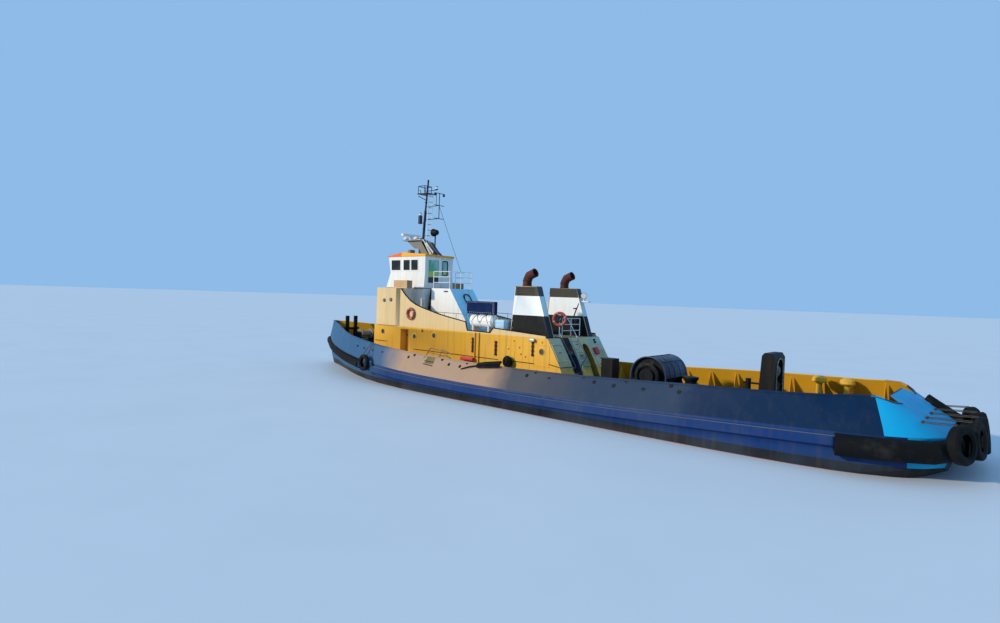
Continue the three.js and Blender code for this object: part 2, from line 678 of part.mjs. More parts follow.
function cabinAft() {
  const region = box([5000, 9000], [-SPLIT_Y + SEAT, SPLIT_Y - SEAT], [5000, 8000]);
  const doorway = box([5000, 9000], [CABIN_DOOR.y0 - 18, CABIN_DOOR.y0 + CABIN_DOOR.width + 10],
    [CABIN_DOOR.sill - 10, CABIN_DOOR.sill + CABIN_DOOR.height + 10]);
  const pane = box([5000, 9000], [20, 900], [5850, 7270]);
  const knuckles = frameKnuckles(CABIN_DOOR.height, 50).map((knuckle, i) => {
    const z = CABIN_DOOR.height * [0.18, 0.82][i] - PIN_GAP;
    const foot = box([-HINGE.aside - 50, -HINGE.aside - 12], [-30, HINGE.out],
      [z - HINGE.height + 8, z - 8]);
    return cabinDoorPlace(join(knuckle, foot));
  });
  return join(cut(cabinShell.intersect(region), doorway, pane), ...knuckles);
}

const cabinFloor = box([7430, 10980], [-CABIN_HALF, CABIN_HALF], [BRIDGE_Z + SEAT, BRIDGE_Z + 50 - SEAT]);

// The roof rises to a ridge over the helm and drops aft; its edges are chamfered.
const ROOF = {
  aft: 7360, fore: 10970, half: 1200, chamfer: 90, foot: CABIN_TOP_Z + SEAT,
  ridgeX: 9600, ridge: 260, aftRise: 120, foreRise: 40,
};

function roofForm() {
  const { aft, fore, half, chamfer, foot, ridgeX, ridge, aftRise, foreRise } = ROOF;
  const profile = sideOutline([
    [aft, foot], [fore, foot], [fore, foot + foreRise], [ridgeX, foot + ridge], [aft, foot + aftRise],
  ], [-half, half]);
  const section = shapeOf([
    [-half, foot], [half, foot], [half, foot + 60], [half - chamfer, foot + 400],
    [chamfer - half, foot + 400], [-half, foot + 60],
  ]);
  return profile.intersect(crossOutline(section, [aft - 100, fore + 100]));
}

const cabinRoof = roofForm();
const onRoof = (solid) => cut(solid, moved(cabinRoof, 0, 0, SEAT));

function helmConsole() {
  const foot = BRIDGE_Z + 50;
  const outline = [
    [10350, foot], [10550, foot], [10560, 6350], [10400, 6480], [9950, 6330], [9980, 6230], [10330, 6200],
  ];
  return sideOutline(outline, [-850, 850]);
}

function helmSeat() {
  const foot = BRIDGE_Z + 50;
  const pillar = rod([9150, 0, foot], [9150, 0, 6050], 60, 12);
  const base = rod([9150, 0, foot], [9150, 0, foot + 30], 260, 16);
  const cushion = planOutline(roundedRectangle([8900, 9400], [-240, 240], 70), [6040, 6160]);
  const back = sideOutline([[8900, 6150], [8990, 6150], [8900, 6750], [8820, 6750]], [-220, 220]);
  return join(pillar, base, cushion, back);
}

// Funnels, one over each engine, with louvred heads and bent exhaust pipes
const FUNNEL = { inner: 1250, innerAft: 1520, outer: 1900, chamfer: 170, topZ: 5740 };
const FUNNEL_LEVELS = [
  // z, fore face x, after face x
  [BOAT_DECK_Z + SEAT, 120, -2500],
  [FUNNEL.topZ, -140, -1650],
];
const EXHAUST = { x: -800, y: 1610, radius: 225, bore: 190 };

function funnel(side) {
  const body = loft(FUNNEL_LEVELS.map(([z, fore, aft]) => [
    [aft, FUNNEL.outer, z], [aft, FUNNEL.innerAft, z], [fore, FUNNEL.inner, z],
    [fore, FUNNEL.outer - FUNNEL.chamfer, z], [fore - FUNNEL.chamfer, FUNNEL.outer, z],
  ]));
  const slats = [5340, 5430, 5520, 5610].map((z) =>
    box([-1500, -420], [FUNNEL.outer - 40, FUNNEL.outer + 50], [z, z + 45]));
  const port = cut(body, ...slats);
  return side > 0 ? port : mirrored(port);
}

// A pipe in three mitred lengths that ends in an open mouth
function exhaust(side) {
  const path = [[0, 0], [0, 300], [-130, 540], [-500, 690]].map(([x, z]) =>
    [EXHAUST.x + x, 0, FUNNEL.topZ + SEAT + z]);
  const [, , bend, mouth] = path;
  const knob = solidOf(new THREE.SphereGeometry(EXHAUST.radius, 12, 6));
  const lengths = [0, 1, 2].map((i) => rod(path[i], path[i + 1], EXHAUST.radius, 12));
  const pipe = join(...lengths, moved(knob, ...path[1]), moved(knob, ...bend));
  const reach = [0, 1, 2].map((i) => mouth[i] + (mouth[i] - bend[i]) * 0.1);
  const inner = [0, 1, 2].map((i) => mouth[i] - (mouth[i] - bend[i]) * 0.6);
  return moved(cut(pipe, rod(inner, reach, EXHAUST.bore, 12)), 0, side * EXHAUST.y, 0);
}

// Mast on the wheelhouse roof, with its radar platform, ladder and crosstrees
const LAMP = { x: 7870, footZ: 8700 };
const RADAR_X = 10150;
const LADDER = { foot: [8500, 8300], head: [8380, 11420], half: 170, rungs: 9, tied: [1, 5] };
const AERIAL_X = 7600;

// The basket at the head of the mast on its small platform, and the brackets under it
function mastHead() {
  const [low, high] = [11430, 11900];
  const [near, far] = [8660, 9240];
  const half = 290;
  const hoops = [low, high].flatMap((z) => [
    ...[-half, half].map((y) => rod([near, y, z], [far, y, z], 22, 6)),
    ...[near, far].map((x) => rod([x, -half - 20, z], [x, half + 20, z], 22, 6)),
  ]);
  const corners = [near, far].flatMap((x) =>
    [-half, half].map((y) => rod([x, y, low], [x, y, high], 20, 6)));
  return [
    ...hoops, ...corners,
    box([8370, 9320], [-330, 330], [11415, 11450]),
    rod([8720, 0, 11600], [7850, 0, 11600], 22, 6),
    rod([8770, 0, 11022], [9550, 0, 11370], 25, 6),
    rod([8880, 0, 9640], [9320, 0, 9640], 22, 6),
    box([9220, 9400], [-90, 90], [9600, 10100]),
  ];
}

// The aerial frame abaft the pole
function aerialFrame() {
  return [
    rod([AERIAL_X, 0, 9800], [AERIAL_X, 0, 11400], 24, 6),
    ...[11360, 10630, 9830].map((z) => rod([AERIAL_X, -400, z], [AERIAL_X, 400, z], 20, 6)),
    rod([AERIAL_X, 250, 10600], [AERIAL_X, 250, 11380], 16, 6),
    rod([8850, 0, 10630], [AERIAL_X, 0, 10630], 20, 6),
    rod([8930, 0, 9830], [AERIAL_X, 0, 9830], 20, 6),
  ];
}

function mastLadder() {
  const { foot, head, half, rungs, tied } = LADDER;
  const stepAt = (i) => {
    const part = (i + 0.5) / rungs;
    return [foot[0] + (head[0] - foot[0]) * part, foot[1] + (head[1] - foot[1]) * part];
  };
  const rails = [-half, half].map((y) => rod([foot[0], y, foot[1]], [head[0], y, head[1]], 22, 6));
  const steps = Array.from({ length: rungs }, (_, i) => {
    const [x, z] = stepAt(i);
    return rod([x, -half, z], [x, half, z], 16, 5);
  });
  const ties = tied.map((i) => {
    const [x, z] = stepAt(i);
    return rod([x, 0, z], [MAST_X - 80, 0, z], 20, 6);
  });
  return [...rails, ...steps, ...ties];
}

function mast() {
  const knee = [MAST_X, 0, 8500];
  const hip = [8840, 0, 10400];
  const pieces = [
    rod(knee, hip, 80, 10),
    rod(hip, [8650, 0, 12300], 55, 8),
    sideOutline([[9070, 8600], [8790, 8600], [7900, 7580], [8220, 7580]], [-170, 170]),
    ...[-280, 280].map((y) => rod([7480, y, 7520], [8500, y / 2, 8350], 65, 8)),
    box([8900, 10600], [-330, 330], [8540, 8600]),
    sideOutline([[8740, 8260], [10400, 8490], [10400, 8560], [8900, 8560]], [-40, 40]),
    ...mastHead(), ...aerialFrame(), ...mastLadder(),
    rod([LAMP.x, -250, 7810], [LAMP.x, 250, 7810], 50, 6),
    rod([LAMP.x, 0, 7800], [LAMP.x, 0, LAMP.footZ], 40, 8),
  ];
  return onRoof(join(...pieces));
}

function radarScanner() {
  const centre = [RADAR_X, 0];
  const shaft = rod([...centre, 8600 + PIN_GAP], [...centre, 8840], 110, 14);
  const bar = box([RADAR_X - 90, RADAR_X + 90], [-720, 720], [8830, 8960]);
  return join(shaft, bar);
}

function searchlight() {
  const z = LAMP.footZ + PIN_GAP;
  const yoke = rod([LAMP.x, 0, z], [LAMP.x, 0, z + 130], 45, 10);
  const profile = [[0, -170], [150, -170], [240, 150], [240, 190], [0, 190]];
  const drum = turning(profile, [LAMP.x, 0, z + 290], [1, 0, 0], 16);
  return join(yoke, drum);
}

// Rails
function railRun(points, height, levels) {
  const posts = points.map(([x, y, z]) => rod([x, y, z], [x, y, z + height], 24, 6));
  const bars = levels.flatMap((level) => points.slice(1).map(([x, y, z], i) => {
    const [px, py, pz] = points[i];
    return rod([px, py, pz + level], [x, y, z + level], 18, 6);
  }));
  return join(...posts, ...bars);
}

function bridgeRail() {
  const z = 5550 + SEAT;
  const points = [[6900, 900, z], [5520, 900, z], [5520, 0, z], [5520, -900, z], [6900, -900, z]];
  return railRun(points, 1000, [350, 680, 990]);
}

const AFT_RAIL = { x: -2620, frontX: -2250, stairY: 510, ringPostY: 1262, height: 950 };
const HANDRAILS = [
  { y: AFT_RAIL.stairY, head: [-2600, 4170], foot: [-3760, 2400] },
  { y: AFT_RAIL.ringPostY, head: [-2610, 3560], foot: [-3660, 1960] },
];

// The taut stay from the aerial frame to the after post of the bridge rail
function mainStay() {
  const line = rod([AERIAL_X, 0, 10600], [5530, 0, 6540], 12, 6);
  return cut(line, moved(mast(), -SEAT, 0, 0), moved(bridgeRail(), 0, 0, SEAT));
}

// The top bar alone crosses the head of the stair to the post that carries the life ring.
function boatDeckRail() {
  const z = BOAT_DECK_Z + SEAT;
  const { x, frontX, stairY, ringPostY, height } = AFT_RAIL;
  const top = z + height - 10;
  const posts = [stairY, -250, -1050].map((y) => [frontX, y, z]);
  const handrails = HANDRAILS.flatMap(({ y, head: [headX, headZ], foot: [footX, footZ] }) => [
    rod([footX, y, footZ], [headX, y, headZ], 20, 6),
    rod([footX, y, footZ], [footX + 380, y, footZ - 550], 20, 6),
  ]);
  return onHouse(join(
    railRun(posts, height, [330, 640, height - 10]),
    rod([x, ringPostY, z], [x, ringPostY, z + height], 24, 6),
    rod([frontX, stairY, top], [x, ringPostY, top], 18, 6),
    rod([frontX, stairY, top], [x + 20, stairY, 4170], 18, 6),
    ...handrails));
}

function lifeRingSide() {
  return ring(290, 75, [7230, HOUSE_HALF + 75 + SEAT, 4020], [0, 1, 0]);
}

function lifeRingAft() {
  const axis = [-0.5, 0.866, 0];
  const fromPost = 21 + 75 + SEAT;
  const centre = [AFT_RAIL.x + axis[0] * fromPost, AFT_RAIL.ringPostY + axis[1] * fromPost, 4190];
  return ring(290, 75, centre, axis);
}

// Canvas-covered box on four legs over the port raft
function canvasBox() {
  const top = box([860, 2850], [1930, 2180], [4240, 4900]);
  const legs = [885, 2825].flatMap((x) => [1942, 2165].map((y) =>
    box([x - 25, x + 25], [y - 12, y + 12], [BOAT_DECK_Z + SEAT, 4250])));
  return join(top, ...legs);
}

// Towing gear on the after deck
const GUARD_R = 960;             // from the winch shaft to the bars over the drum

const overDrum = (degrees) => {
  const angle = THREE.MathUtils.degToRad(degrees);
  return [WINCH_X + GUARD_R * Math.cos(angle), WINCH_Z + GUARD_R * Math.sin(angle)];
};

// A bar bent over the drum, one at each side of it
function winchHoop(y) {
  const arc = Array.from({ length: 9 }, (_, i) => overDrum(i * 22.5)).map(([x, z]) => [x, y, z]);
  const ends = [WINCH_X + GUARD_R, WINCH_X - GUARD_R].map((x) => [x, y, 1150]);
  return bentBar([ends[0], ...arc, ends[1]], 32, 22, 6);
}

function winchFrame() {
  const bed = box([WINCH_X - 1050, WINCH_X + 1050], [-1250, 1250], [700, 1180]);
  const halfCheek = [[800, 1150], [420, WINCH_Z + 200], [200, WINCH_Z + 370]];
  const outline = [...halfCheek, ...halfCheek.map(([x, z]) => [-x, z]).reverse()];
  const cheek = sideOutline(outline.map(([x, z]) => [WINCH_X + x, z]), [1000, 1110]);
  const boss = rod([WINCH_X, 1000, WINCH_Z], [WINCH_X, 1230, WINCH_Z], 330, 20);
  const port = join(cheek, boss, winchHoop(1055));
  const ties = [50, 90, 130].map((degrees) => {
    const [x, z] = overDrum(degrees);
    return rod([x, -1055, z], [x, 1055, z], 25, 6);
  });
  return onDeck(join(bed, port, mirrored(port), ...ties));
}

function winchDrum() {
  const end = 1000 - PIN_GAP;
  const half = [[0, end], [120, end], [120, 930], [740, 930], [740, 870], [360, 860]];
  return turning(symmetric(half), [WINCH_X, 0, WINCH_Z], [0, 1, 0], 22);
}

const powerBox = () => onDeck(box([-5450, -4850], [350, 950], [700, 2480]));

const CAPSTAN = { x: -9100, y: 700, footZ: 1420 };

const capstanBase = () => onDeck(join(
  rod([CAPSTAN.x, CAPSTAN.y, 800], [CAPSTAN.x, CAPSTAN.y, CAPSTAN.footZ], 420, 20),
  box([-9750, -8700], [-700, 300], [800, 1600])));

function capstanHead() {
  const z = CAPSTAN.footZ + PIN_GAP;
  const profile = [[0, 0], [380, 0], [380, 60], [250, 160], [220, 420], [330, 560], [330, 640], [0, 680]];
  return turning(profile, [CAPSTAN.x, CAPSTAN.y, z], [0, 0, 1], 20);
}

const SHEAVE = { x: ARCH_X, z: 2600, radius: 300 };

function towArch() {
  const outline = [
    [-300, 700], [330, 700], [300, 1700], [210, 3200], [120, 3320], [-190, 3320], [-300, 3150],
  ];
  const body = sideOutline(outline.map(([x, z]) => [ARCH_X + x, z]), [-620, 620]);
  const opening = crossOutline(archShape(0, 760, 1400, 3080), [ARCH_X - 2000, ARCH_X + 2000]);
  return onDeck(cut(body, opening));
}

function archSheave() {
  const end = 380 - PIN_GAP;
  const half = [[0, end], [70, end], [70, 120], [SHEAVE.radius, 120], [240, 30]];
  return turning(symmetric(half), [SHEAVE.x, 0, SHEAVE.z], [0, 1, 0], 20);
}

// Anchor windlass and bitts
const WINDLASS = { x: 14700, z: 2330 };

function windlassFrame() {
  const bed = box([WINDLASS.x - 800, WINDLASS.x + 600], [-750, 750], [1300, 1880]);
  const cheek = sideOutline([
    [WINDLASS.x - 350, 1800], [WINDLASS.x + 350, 1800], [WINDLASS.x + 150, 2480], [WINDLASS.x - 150, 2480],
  ], [500, 580]);
  return onDeck(join(bed, cheek, mirrored(cheek)));
}

function windlassDrum() {
  const end = 500 - PIN_GAP;
  const half = [[0, end], [110, end], [110, 440], [330, 440], [330, 390], [200, 360]];
  return turning(symmetric(half), [WINDLASS.x, 0, WINDLASS.z], [0, 1, 0], 20);
}

const BOW_BITTS = { x: 16350, half: 340, topZ: 3480 };

function bowBitts() {
  const { x, half, topZ } = BOW_BITTS;
  const posts = [-half, half].map((y) => rod([x, y, 1500], [x, y, topZ], 140, 14));
  const bar = rod([x, -620, 2600], [x, 620, 2600], 80, 10);
  return onDeck(join(...posts, bar));
}

function sideBitts(side) {
  const posts = [-10850, -10250].map((x) => rod([x, 2950, 700], [x, 2950, 1850], 120, 12));
  const bar = rod([-11080, 2950, 1650], [-10020, 2950, 1650], 45, 8);
  const foot = box([-11050, -10050], [2780, 3120], [700, 1180]);
  const port = onDeck(join(...posts, bar, foot));
  return side > 0 ? port : mirrored(port);
}

// A tyre hung on each side where other hulls come alongside
const SIDE_TYRE = { x: 8850, z: 1130, radius: 470, width: 240 };

function sideTyre(side) {
  const { x, z, radius, width } = SIDE_TYRE;
  const y = linesAt(x).deckHalf + STRAKE_OUT + width / 2 - 30;
  const round = tyre(radius, width, [x, y, z], [0.09, 1, 0.05]);
  const port = cut(round, moved(bareHull, 0, SEAT, 0), hullRaised, hullLowered);
  return side > 0 ? port : mirrored(port);
}

// Two mushroom vents on one base by the starboard quarter
function quarterVents() {
  const y = -2780;
  const base = box([-14450, -12650], [y - 130, y + 130], [900, 1330]);
  const cap = [[0, 0], [270, 0], [300, 60], [270, 190], [150, 270], [0, 290]];
  const vents = [-13220, -14260].flatMap((x) => [
    rod([x, y, 1200], [x, y, 2060], 120, 12),
    turning(cap, [x, y, 2040], [0, 0, 1], 16),
  ]);
  return onDeck(join(base, ...vents));
}

// Finishes
const finish = (color, roughness, metalness) =>
  new THREE.MeshStandardMaterial({ color, roughness, metalness });
const PAINT = {
  hull: finish(0x244a7c, 0.6, 0.0),
  bulwark: finish(0x7f93ab, 0.7, 0.0),
  yellow: finish(0xdda63a, 0.55, 0.0),
  cream: finish(0xe6cd98, 0.55, 0.0),
  white: finish(0xf2efe8, 0.5, 0.0),
  black: finish(0x1d1e20, 0.6, 0.0),
  rubber: finish(0x17181a, 0.9, 0.0),
  rust: finish(0x7c432f, 0.85, 0.2),
  bronze: finish(0x9a7a3f, 0.4, 0.9),
  orange: finish(0xc94a28, 0.6, 0.0),
  navy: finish(0x102a5c, 0.9, 0.0),
  grey: finish(0x6d7072, 0.6, 0.1),
};

const tugboat = new THREE.Group();

function part(name, solid, material) {
  const mesh = new THREE.Mesh(geometryOf(solid), material);
  mesh.name = name;
  tugboat.add(mesh);
}

const SIDES = [['port', 1], ['starboard', -1]];

part('hull', hull, PAINT.hull);
part('bulwark_port', bulwarkPort, PAINT.bulwark);
part('bulwark_starboard', bulwarkStarboard, PAINT.bulwark);
part('fender_bow', bowFender(0), PAINT.rubber);
part('fender_stern', sternBumper, PAINT.rubber);
for (const [name, side] of SIDES) {
  part(`propeller_${name}`, propeller(side), PAINT.bronze);
  part(`nozzle_${name}`, nozzle(side), PAINT.hull);
  part(`rudder_${name}`, rudder(side), PAINT.hull);
}
part('deckhouse', deckhouse(), PAINT.yellow);
part('bridge_block', bridgeBlock(), PAINT.cream);
part('wheelhouse_trunk', wheelhouseTrunk, PAINT.white);
part('casing', casing(), PAINT.white);
part('casing_door', casingDoor, PAINT.white);
part('side_door_port', sideDoor.leaf, PAINT.yellow);
part('side_door_starboard', mirrored(sideDoor.leaf), PAINT.yellow);
part('aft_door', aftDoor.leaf, PAINT.yellow);
for (const [name, side] of SIDES) {
  part(`side_screen_${name}`, sideScreen(side), PAINT.cream);
  part(`wheelhouse_${name}`, cabinSide(side), PAINT.white);
  part(`funnel_${name}`, funnel(side), PAINT.black);
  part(`exhaust_${name}`, exhaust(side), PAINT.rust);
  part(`liferaft_${name}`, liferaft(side), PAINT.white);
  part(`bitts_${name}`, sideBitts(side), PAINT.black);
  part(`tyre_${name}`, sideTyre(side), PAINT.rubber);
}
part('wheelhouse_floor', cabinFloor, PAINT.grey);
part('wheelhouse_front', cabinFront(), PAINT.white);
part('wheelhouse_aft', cabinAft(), PAINT.white);
part('wheelhouse_roof', cabinRoof, PAINT.orange);
part('wheelhouse_door', cabinDoor(), PAINT.white);
part('helm_console', helmConsole(), PAINT.grey);
part('helm_seat', helmSeat(), PAINT.black);
part('mast', mast(), PAINT.black);
part('main_stay', mainStay(), PAINT.black);
part('radar_scanner', radarScanner(), PAINT.white);
part('searchlight', searchlight(), PAINT.black);
part('bridge_rail', bridgeRail(), PAINT.white);
part('boat_deck_rail', boatDeckRail(), PAINT.white);
part('life_ring_side', lifeRingSide(), PAINT.orange);
part('life_ring_aft', lifeRingAft(), PAINT.orange);
part('canvas_box', canvasBox(), PAINT.navy);
part('winch_frame', winchFrame(), PAINT.black);
part('winch_drum', winchDrum(), PAINT.black);
part('power_box', powerBox(), PAINT.black);
part('capstan_base', capstanBase(), PAINT.black);
part('capstan_head', capstanHead(), PAINT.black);
part('tow_arch', towArch(), PAINT.black);
part('arch_sheave', archSheave(), PAINT.grey);
part('windlass_frame', windlassFrame(), PAINT.black);
part('windlass_drum', windlassDrum(), PAINT.black);
part('bitts_bow', bowBitts(), PAINT.black);
part('quarter_vents', quarterVents(), PAINT.yellow);

export default tugboat;
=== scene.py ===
# %% [markdown]
# # A harbour tugboat, dressed over its imported frame
# The frame is the boat's model: every rigid piece sits in its place and moves on its joints.
# This file adds the finish of each surface and the small fittings, all in metres in the same frame.
# The boat lies along X with the bow at +X, port is +Y, and the water is at z = 0.

import math
import random

import bmesh
import bpy
from mathutils import Matrix, Vector


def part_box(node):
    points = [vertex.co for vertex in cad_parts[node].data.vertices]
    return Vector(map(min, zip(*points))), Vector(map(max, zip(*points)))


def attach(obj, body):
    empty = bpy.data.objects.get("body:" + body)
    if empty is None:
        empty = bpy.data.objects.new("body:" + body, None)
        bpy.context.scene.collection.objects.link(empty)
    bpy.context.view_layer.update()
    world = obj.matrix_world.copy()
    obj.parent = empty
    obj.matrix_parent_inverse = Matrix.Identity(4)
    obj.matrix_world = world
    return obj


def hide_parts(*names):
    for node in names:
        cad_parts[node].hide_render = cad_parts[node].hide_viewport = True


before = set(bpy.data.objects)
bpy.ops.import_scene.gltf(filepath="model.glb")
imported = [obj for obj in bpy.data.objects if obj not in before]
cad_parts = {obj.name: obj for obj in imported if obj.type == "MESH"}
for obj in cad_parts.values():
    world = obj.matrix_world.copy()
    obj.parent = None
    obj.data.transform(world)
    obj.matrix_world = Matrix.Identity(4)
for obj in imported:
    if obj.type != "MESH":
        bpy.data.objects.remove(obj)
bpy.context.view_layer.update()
X, Y, Z = Vector((1, 0, 0)), Vector((0, 1, 0)), Vector((0, 0, 1))
SIDES = (("port", 1), ("starboard", -1))

# %% [markdown]
# ## The camera
# The eye stands a little over 5 m above the water, off the port quarter, with a wide lens. A track to a
# target would lose the slight tilt of the picture, so the eye is turned by its own axes: where it looks,
# and then a small roll about that line.

# %% Camera
EYE = Vector((-19.641, 25.125, 5.143))
LOOK = Vector((0.65867, -0.75206, -0.02353))
TILT = math.radians(1.967)
LENS = 21.6


def add_camera():
    data = bpy.data.cameras.new("camera")
    data.lens = LENS
    data.sensor_width = 36
    data.clip_start, data.clip_end = 0.1, 2000
    eye = bpy.data.objects.new("camera", data)
    turn = LOOK.to_track_quat("-Z", "Y").to_matrix().to_4x4()
    eye.matrix_world = Matrix.Translation(EYE) @ turn @ Matrix.Rotation(TILT, 4, "Z")
    bpy.context.scene.collection.objects.link(eye)
    bpy.context.scene.camera = eye


add_camera()
print("lens", LENS, "mm, eye", tuple(EYE))

# %% [markdown]
# ## The studio
# A low warm key from the port bow lights the side of the boat and leaves the after faces in cool shade.
# A blue world fills the shade. The floor lies at the waterline, so the boat seems to float on it.

# %% Studio
KEY_FROM = Vector((0.52, 0.82, 0.38))
KEY_STRENGTH = 3.2
FILL_STRENGTH = 0.8
SKY = (0.34, 0.62, 1.0, 1)
FLOOR_SIZE = 900


def add_key():
    sun = bpy.data.lights.new("key", "SUN")
    sun.energy = KEY_STRENGTH
    sun.color = (1.0, 0.88, 0.68)
    sun.angle = math.radians(3)
    lamp = bpy.data.objects.new("key", sun)
    lamp.rotation_euler = KEY_FROM.to_track_quat("Z", "Y").to_euler()
    bpy.context.scene.collection.objects.link(lamp)


def add_world():
    world = bpy.data.worlds.new("studio")
    world.use_nodes = True
    sky = world.node_tree.nodes["Background"]
    sky.inputs["Color"].default_value = SKY
    sky.inputs["Strength"].default_value = FILL_STRENGTH
    bpy.context.scene.world = world


add_key()
add_world()
bpy.context.scene.view_settings.view_transform = "Standard"
print("key", KEY_STRENGTH, "fill", FILL_STRENGTH)

# %% [markdown]
# ## Finishes
# Every coat on the boat is paint over steel that has stood in salt air: the colour fades in patches,
# dirt runs down in streaks, and rust breaks through in specks. Each finish could be painted by hand,
# but noise in the boat's own coordinates gives each piece its own wear with no maps to carry.
# The helper below wires the nodes, so that a finish reads as a list of layers from the base coat up.

# %% Node helper
def srgb(red, green, blue):
    """A colour as seen on screen, from 0 to 255, as the linear colour that a shader wants."""
    def linear(part):
        part /= 255
        return part / 12.92 if part <= 0.04045 else ((part + 0.055) / 1.055) ** 2.4
    return linear(red), linear(green), linear(blue), 1.0


class Finish:
    """One material in layers: tint() lays colour over colour, rub() varies the gloss, and above(),
    below(), step() and all_of() mask off the zones."""

    def __init__(self, name, slot, colour, roughness=0.5, metallic=0.0):
        self.slot = slot
        self.material = bpy.data.materials.new(name)
        self.material.use_nodes = True
        self.tree = self.material.node_tree
        self.shader = self.tree.nodes["Principled BSDF"]
        self.shader.inputs["Base Color"].default_value = colour
        self.shader.inputs["Roughness"].default_value = roughness
        self.shader.inputs["Metallic"].default_value = metallic
        self.place = self.add("ShaderNodeTexCoord").outputs["Object"]
        self.colour = colour
        self.heights = []

    def add(self, kind, settings=(), **sockets):
        node = self.tree.nodes.new(kind)
        for key, value in dict(settings).items():
            setattr(node, key, value)
        for key, value in sockets.items():
            self.plug(node.inputs[key.replace("_", " ")], value)
        return node

    def plug(self, socket, value):
        if isinstance(value, bpy.types.NodeSocket):
            self.tree.links.new(value, socket)
        else:
            socket.default_value = value

    def noise(self, scale, detail=4.0, rough=0.55, stretch=(1, 1, 1)):
        spot = self.add("ShaderNodeMapping", Vector=self.place, Scale=stretch).outputs["Vector"]
        return self.add("ShaderNodeTexNoise", Vector=spot, Scale=scale, Detail=detail,
                        Roughness=rough).outputs["Fac"]

    def between(self, value, low, high, out=(0.0, 1.0)):
        made = self.add("ShaderNodeMapRange", Value=value, From_Min=low, From_Max=high,
                        To_Min=out[0], To_Max=out[1])
        return made.outputs["Result"]

    def math(self, operation, first, second=0.0):
        node = self.add("ShaderNodeMath", {"operation": operation})
        self.plug(node.inputs[0], first)
        self.plug(node.inputs[1], second)
        return node.outputs[0]

    def axis(self, name, source=None):
        return self.add("ShaderNodeSeparateXYZ", Vector=source or self.place).outputs[name]

    def facing(self, name):
        """How far the surface faces along an axis of the boat, from -1 to 1."""
        return self.axis(name, self.add("ShaderNodeNewGeometry").outputs["Normal"])

    def above(self, value, level, test="GREATER_THAN"):
        """1 where a value, or the place along a named axis, is over a level, and 0 elsewhere."""
        return self.math(test, self.axis(value) if isinstance(value, str) else value, level)

    def below(self, value, level):
        return self.above(value, level, "LESS_THAN")

    def step(self, value, edge, soft=0.01):
        return self.between(value, edge - soft, edge + soft)

    def all_of(self, first, *more):
        for other in more:
            first = self.math("MULTIPLY", first, other)
        return first

    def tint(self, factor, colour):
        node = self.add("ShaderNodeMix", {"data_type": "RGBA"})
        self.plug(node.inputs[0], factor)
        self.plug(node.inputs[6], self.colour)
        self.plug(node.inputs[7], colour)
        self.colour = node.outputs[2]
        self.plug(self.shader.inputs["Base Color"], self.colour)
        return self

    def rub(self, factor, low, high):
        self.plug(self.shader.inputs["Roughness"], self.between(factor, 0, 1, (low, high)))
        return self

    def raise_by(self, height, distance):
        bump = self.add("ShaderNodeBump", Height=height, Distance=distance)
        if self.heights:
            self.tree.links.new(self.heights[-1], bump.inputs["Normal"])
        self.heights.append(bump.outputs["Normal"])
        self.tree.links.new(bump.outputs["Normal"], self.shader.inputs["Normal"])
        return self


# %% [markdown]
# ## Weathered paint
# Brushed marine enamel is laid thick and often. It fades where the sun strikes, carries a film of soot
# and salt that rain draws down into streaks, and lifts at welds where rust then bleeds. Four noises at
# four sizes tell that story: broad fading, tall thin streaks, rust specks and the brush's own ripple.
# Chalked paint hardly mirrors the sky, so the shine is kept DULL and the blacks stay black.

# %% Paint recipe
RUST = srgb(112, 62, 34)
GRIME = srgb(92, 84, 72)
DULL = 0.12


def weather(finish, faded, streaks=0.5, rust=0.5, ripple=0.004, fade=0.75):
    """Fades, streaks and rusts a coat whose base colour, plain or in zones, is already laid."""
    finish.shader.inputs["Specular IOR Level"].default_value = DULL
    patches = finish.between(finish.noise(0.45, 6), 0.38, 0.68, (0, fade))
    finish.tint(patches, faded)
    drips = finish.between(finish.noise(1.0, 6, 0.6, (4.5, 4.5, 0.3)), 0.50, 0.78, (0, streaks))
    finish.tint(drips, GRIME)
    specks = finish.between(finish.noise(3.0, 10, 0.72), 0.66, 0.72, (0, rust))
    finish.tint(specks, RUST)
    runs = finish.between(finish.noise(1.6, 5, 0.6, (3.2, 3.2, 0.22)), 0.66, 0.80, (0, rust * 0.6))
    finish.tint(runs, RUST)
    finish.rub(finish.noise(1.3, 5), 0.32, 0.72)
    finish.raise_by(finish.noise(0.9, 2), 0.02)
    finish.raise_by(finish.noise(14, 6), ripple)
    return finish


def paint(name, slot, colour, faded, **wear):
    return weather(Finish(name, slot, colour), faded, **wear)


white = paint("white enamel", "white_paint", srgb(232, 230, 226), srgb(214, 214, 210), streaks=0.3, rust=0.35)
yellow = paint("yellow enamel", "yellow_paint", srgb(218, 162, 42), srgb(216, 168, 70), streaks=0.35)
black = paint("black enamel", "black_paint", srgb(11, 12, 15), srgb(24, 26, 29), streaks=0.12, rust=0.5)
grey = paint("grey deck paint", "grey_paint", srgb(112, 114, 110), srgb(134, 132, 124), streaks=0.2, rust=0.7)
steel = paint("bare steel", "rusty_steel", srgb(110, 96, 84), srgb(82, 70, 62), streaks=0.4, rust=0.9)
print("paints", [f.material.name for f in (white, yellow, black, grey, steel)])
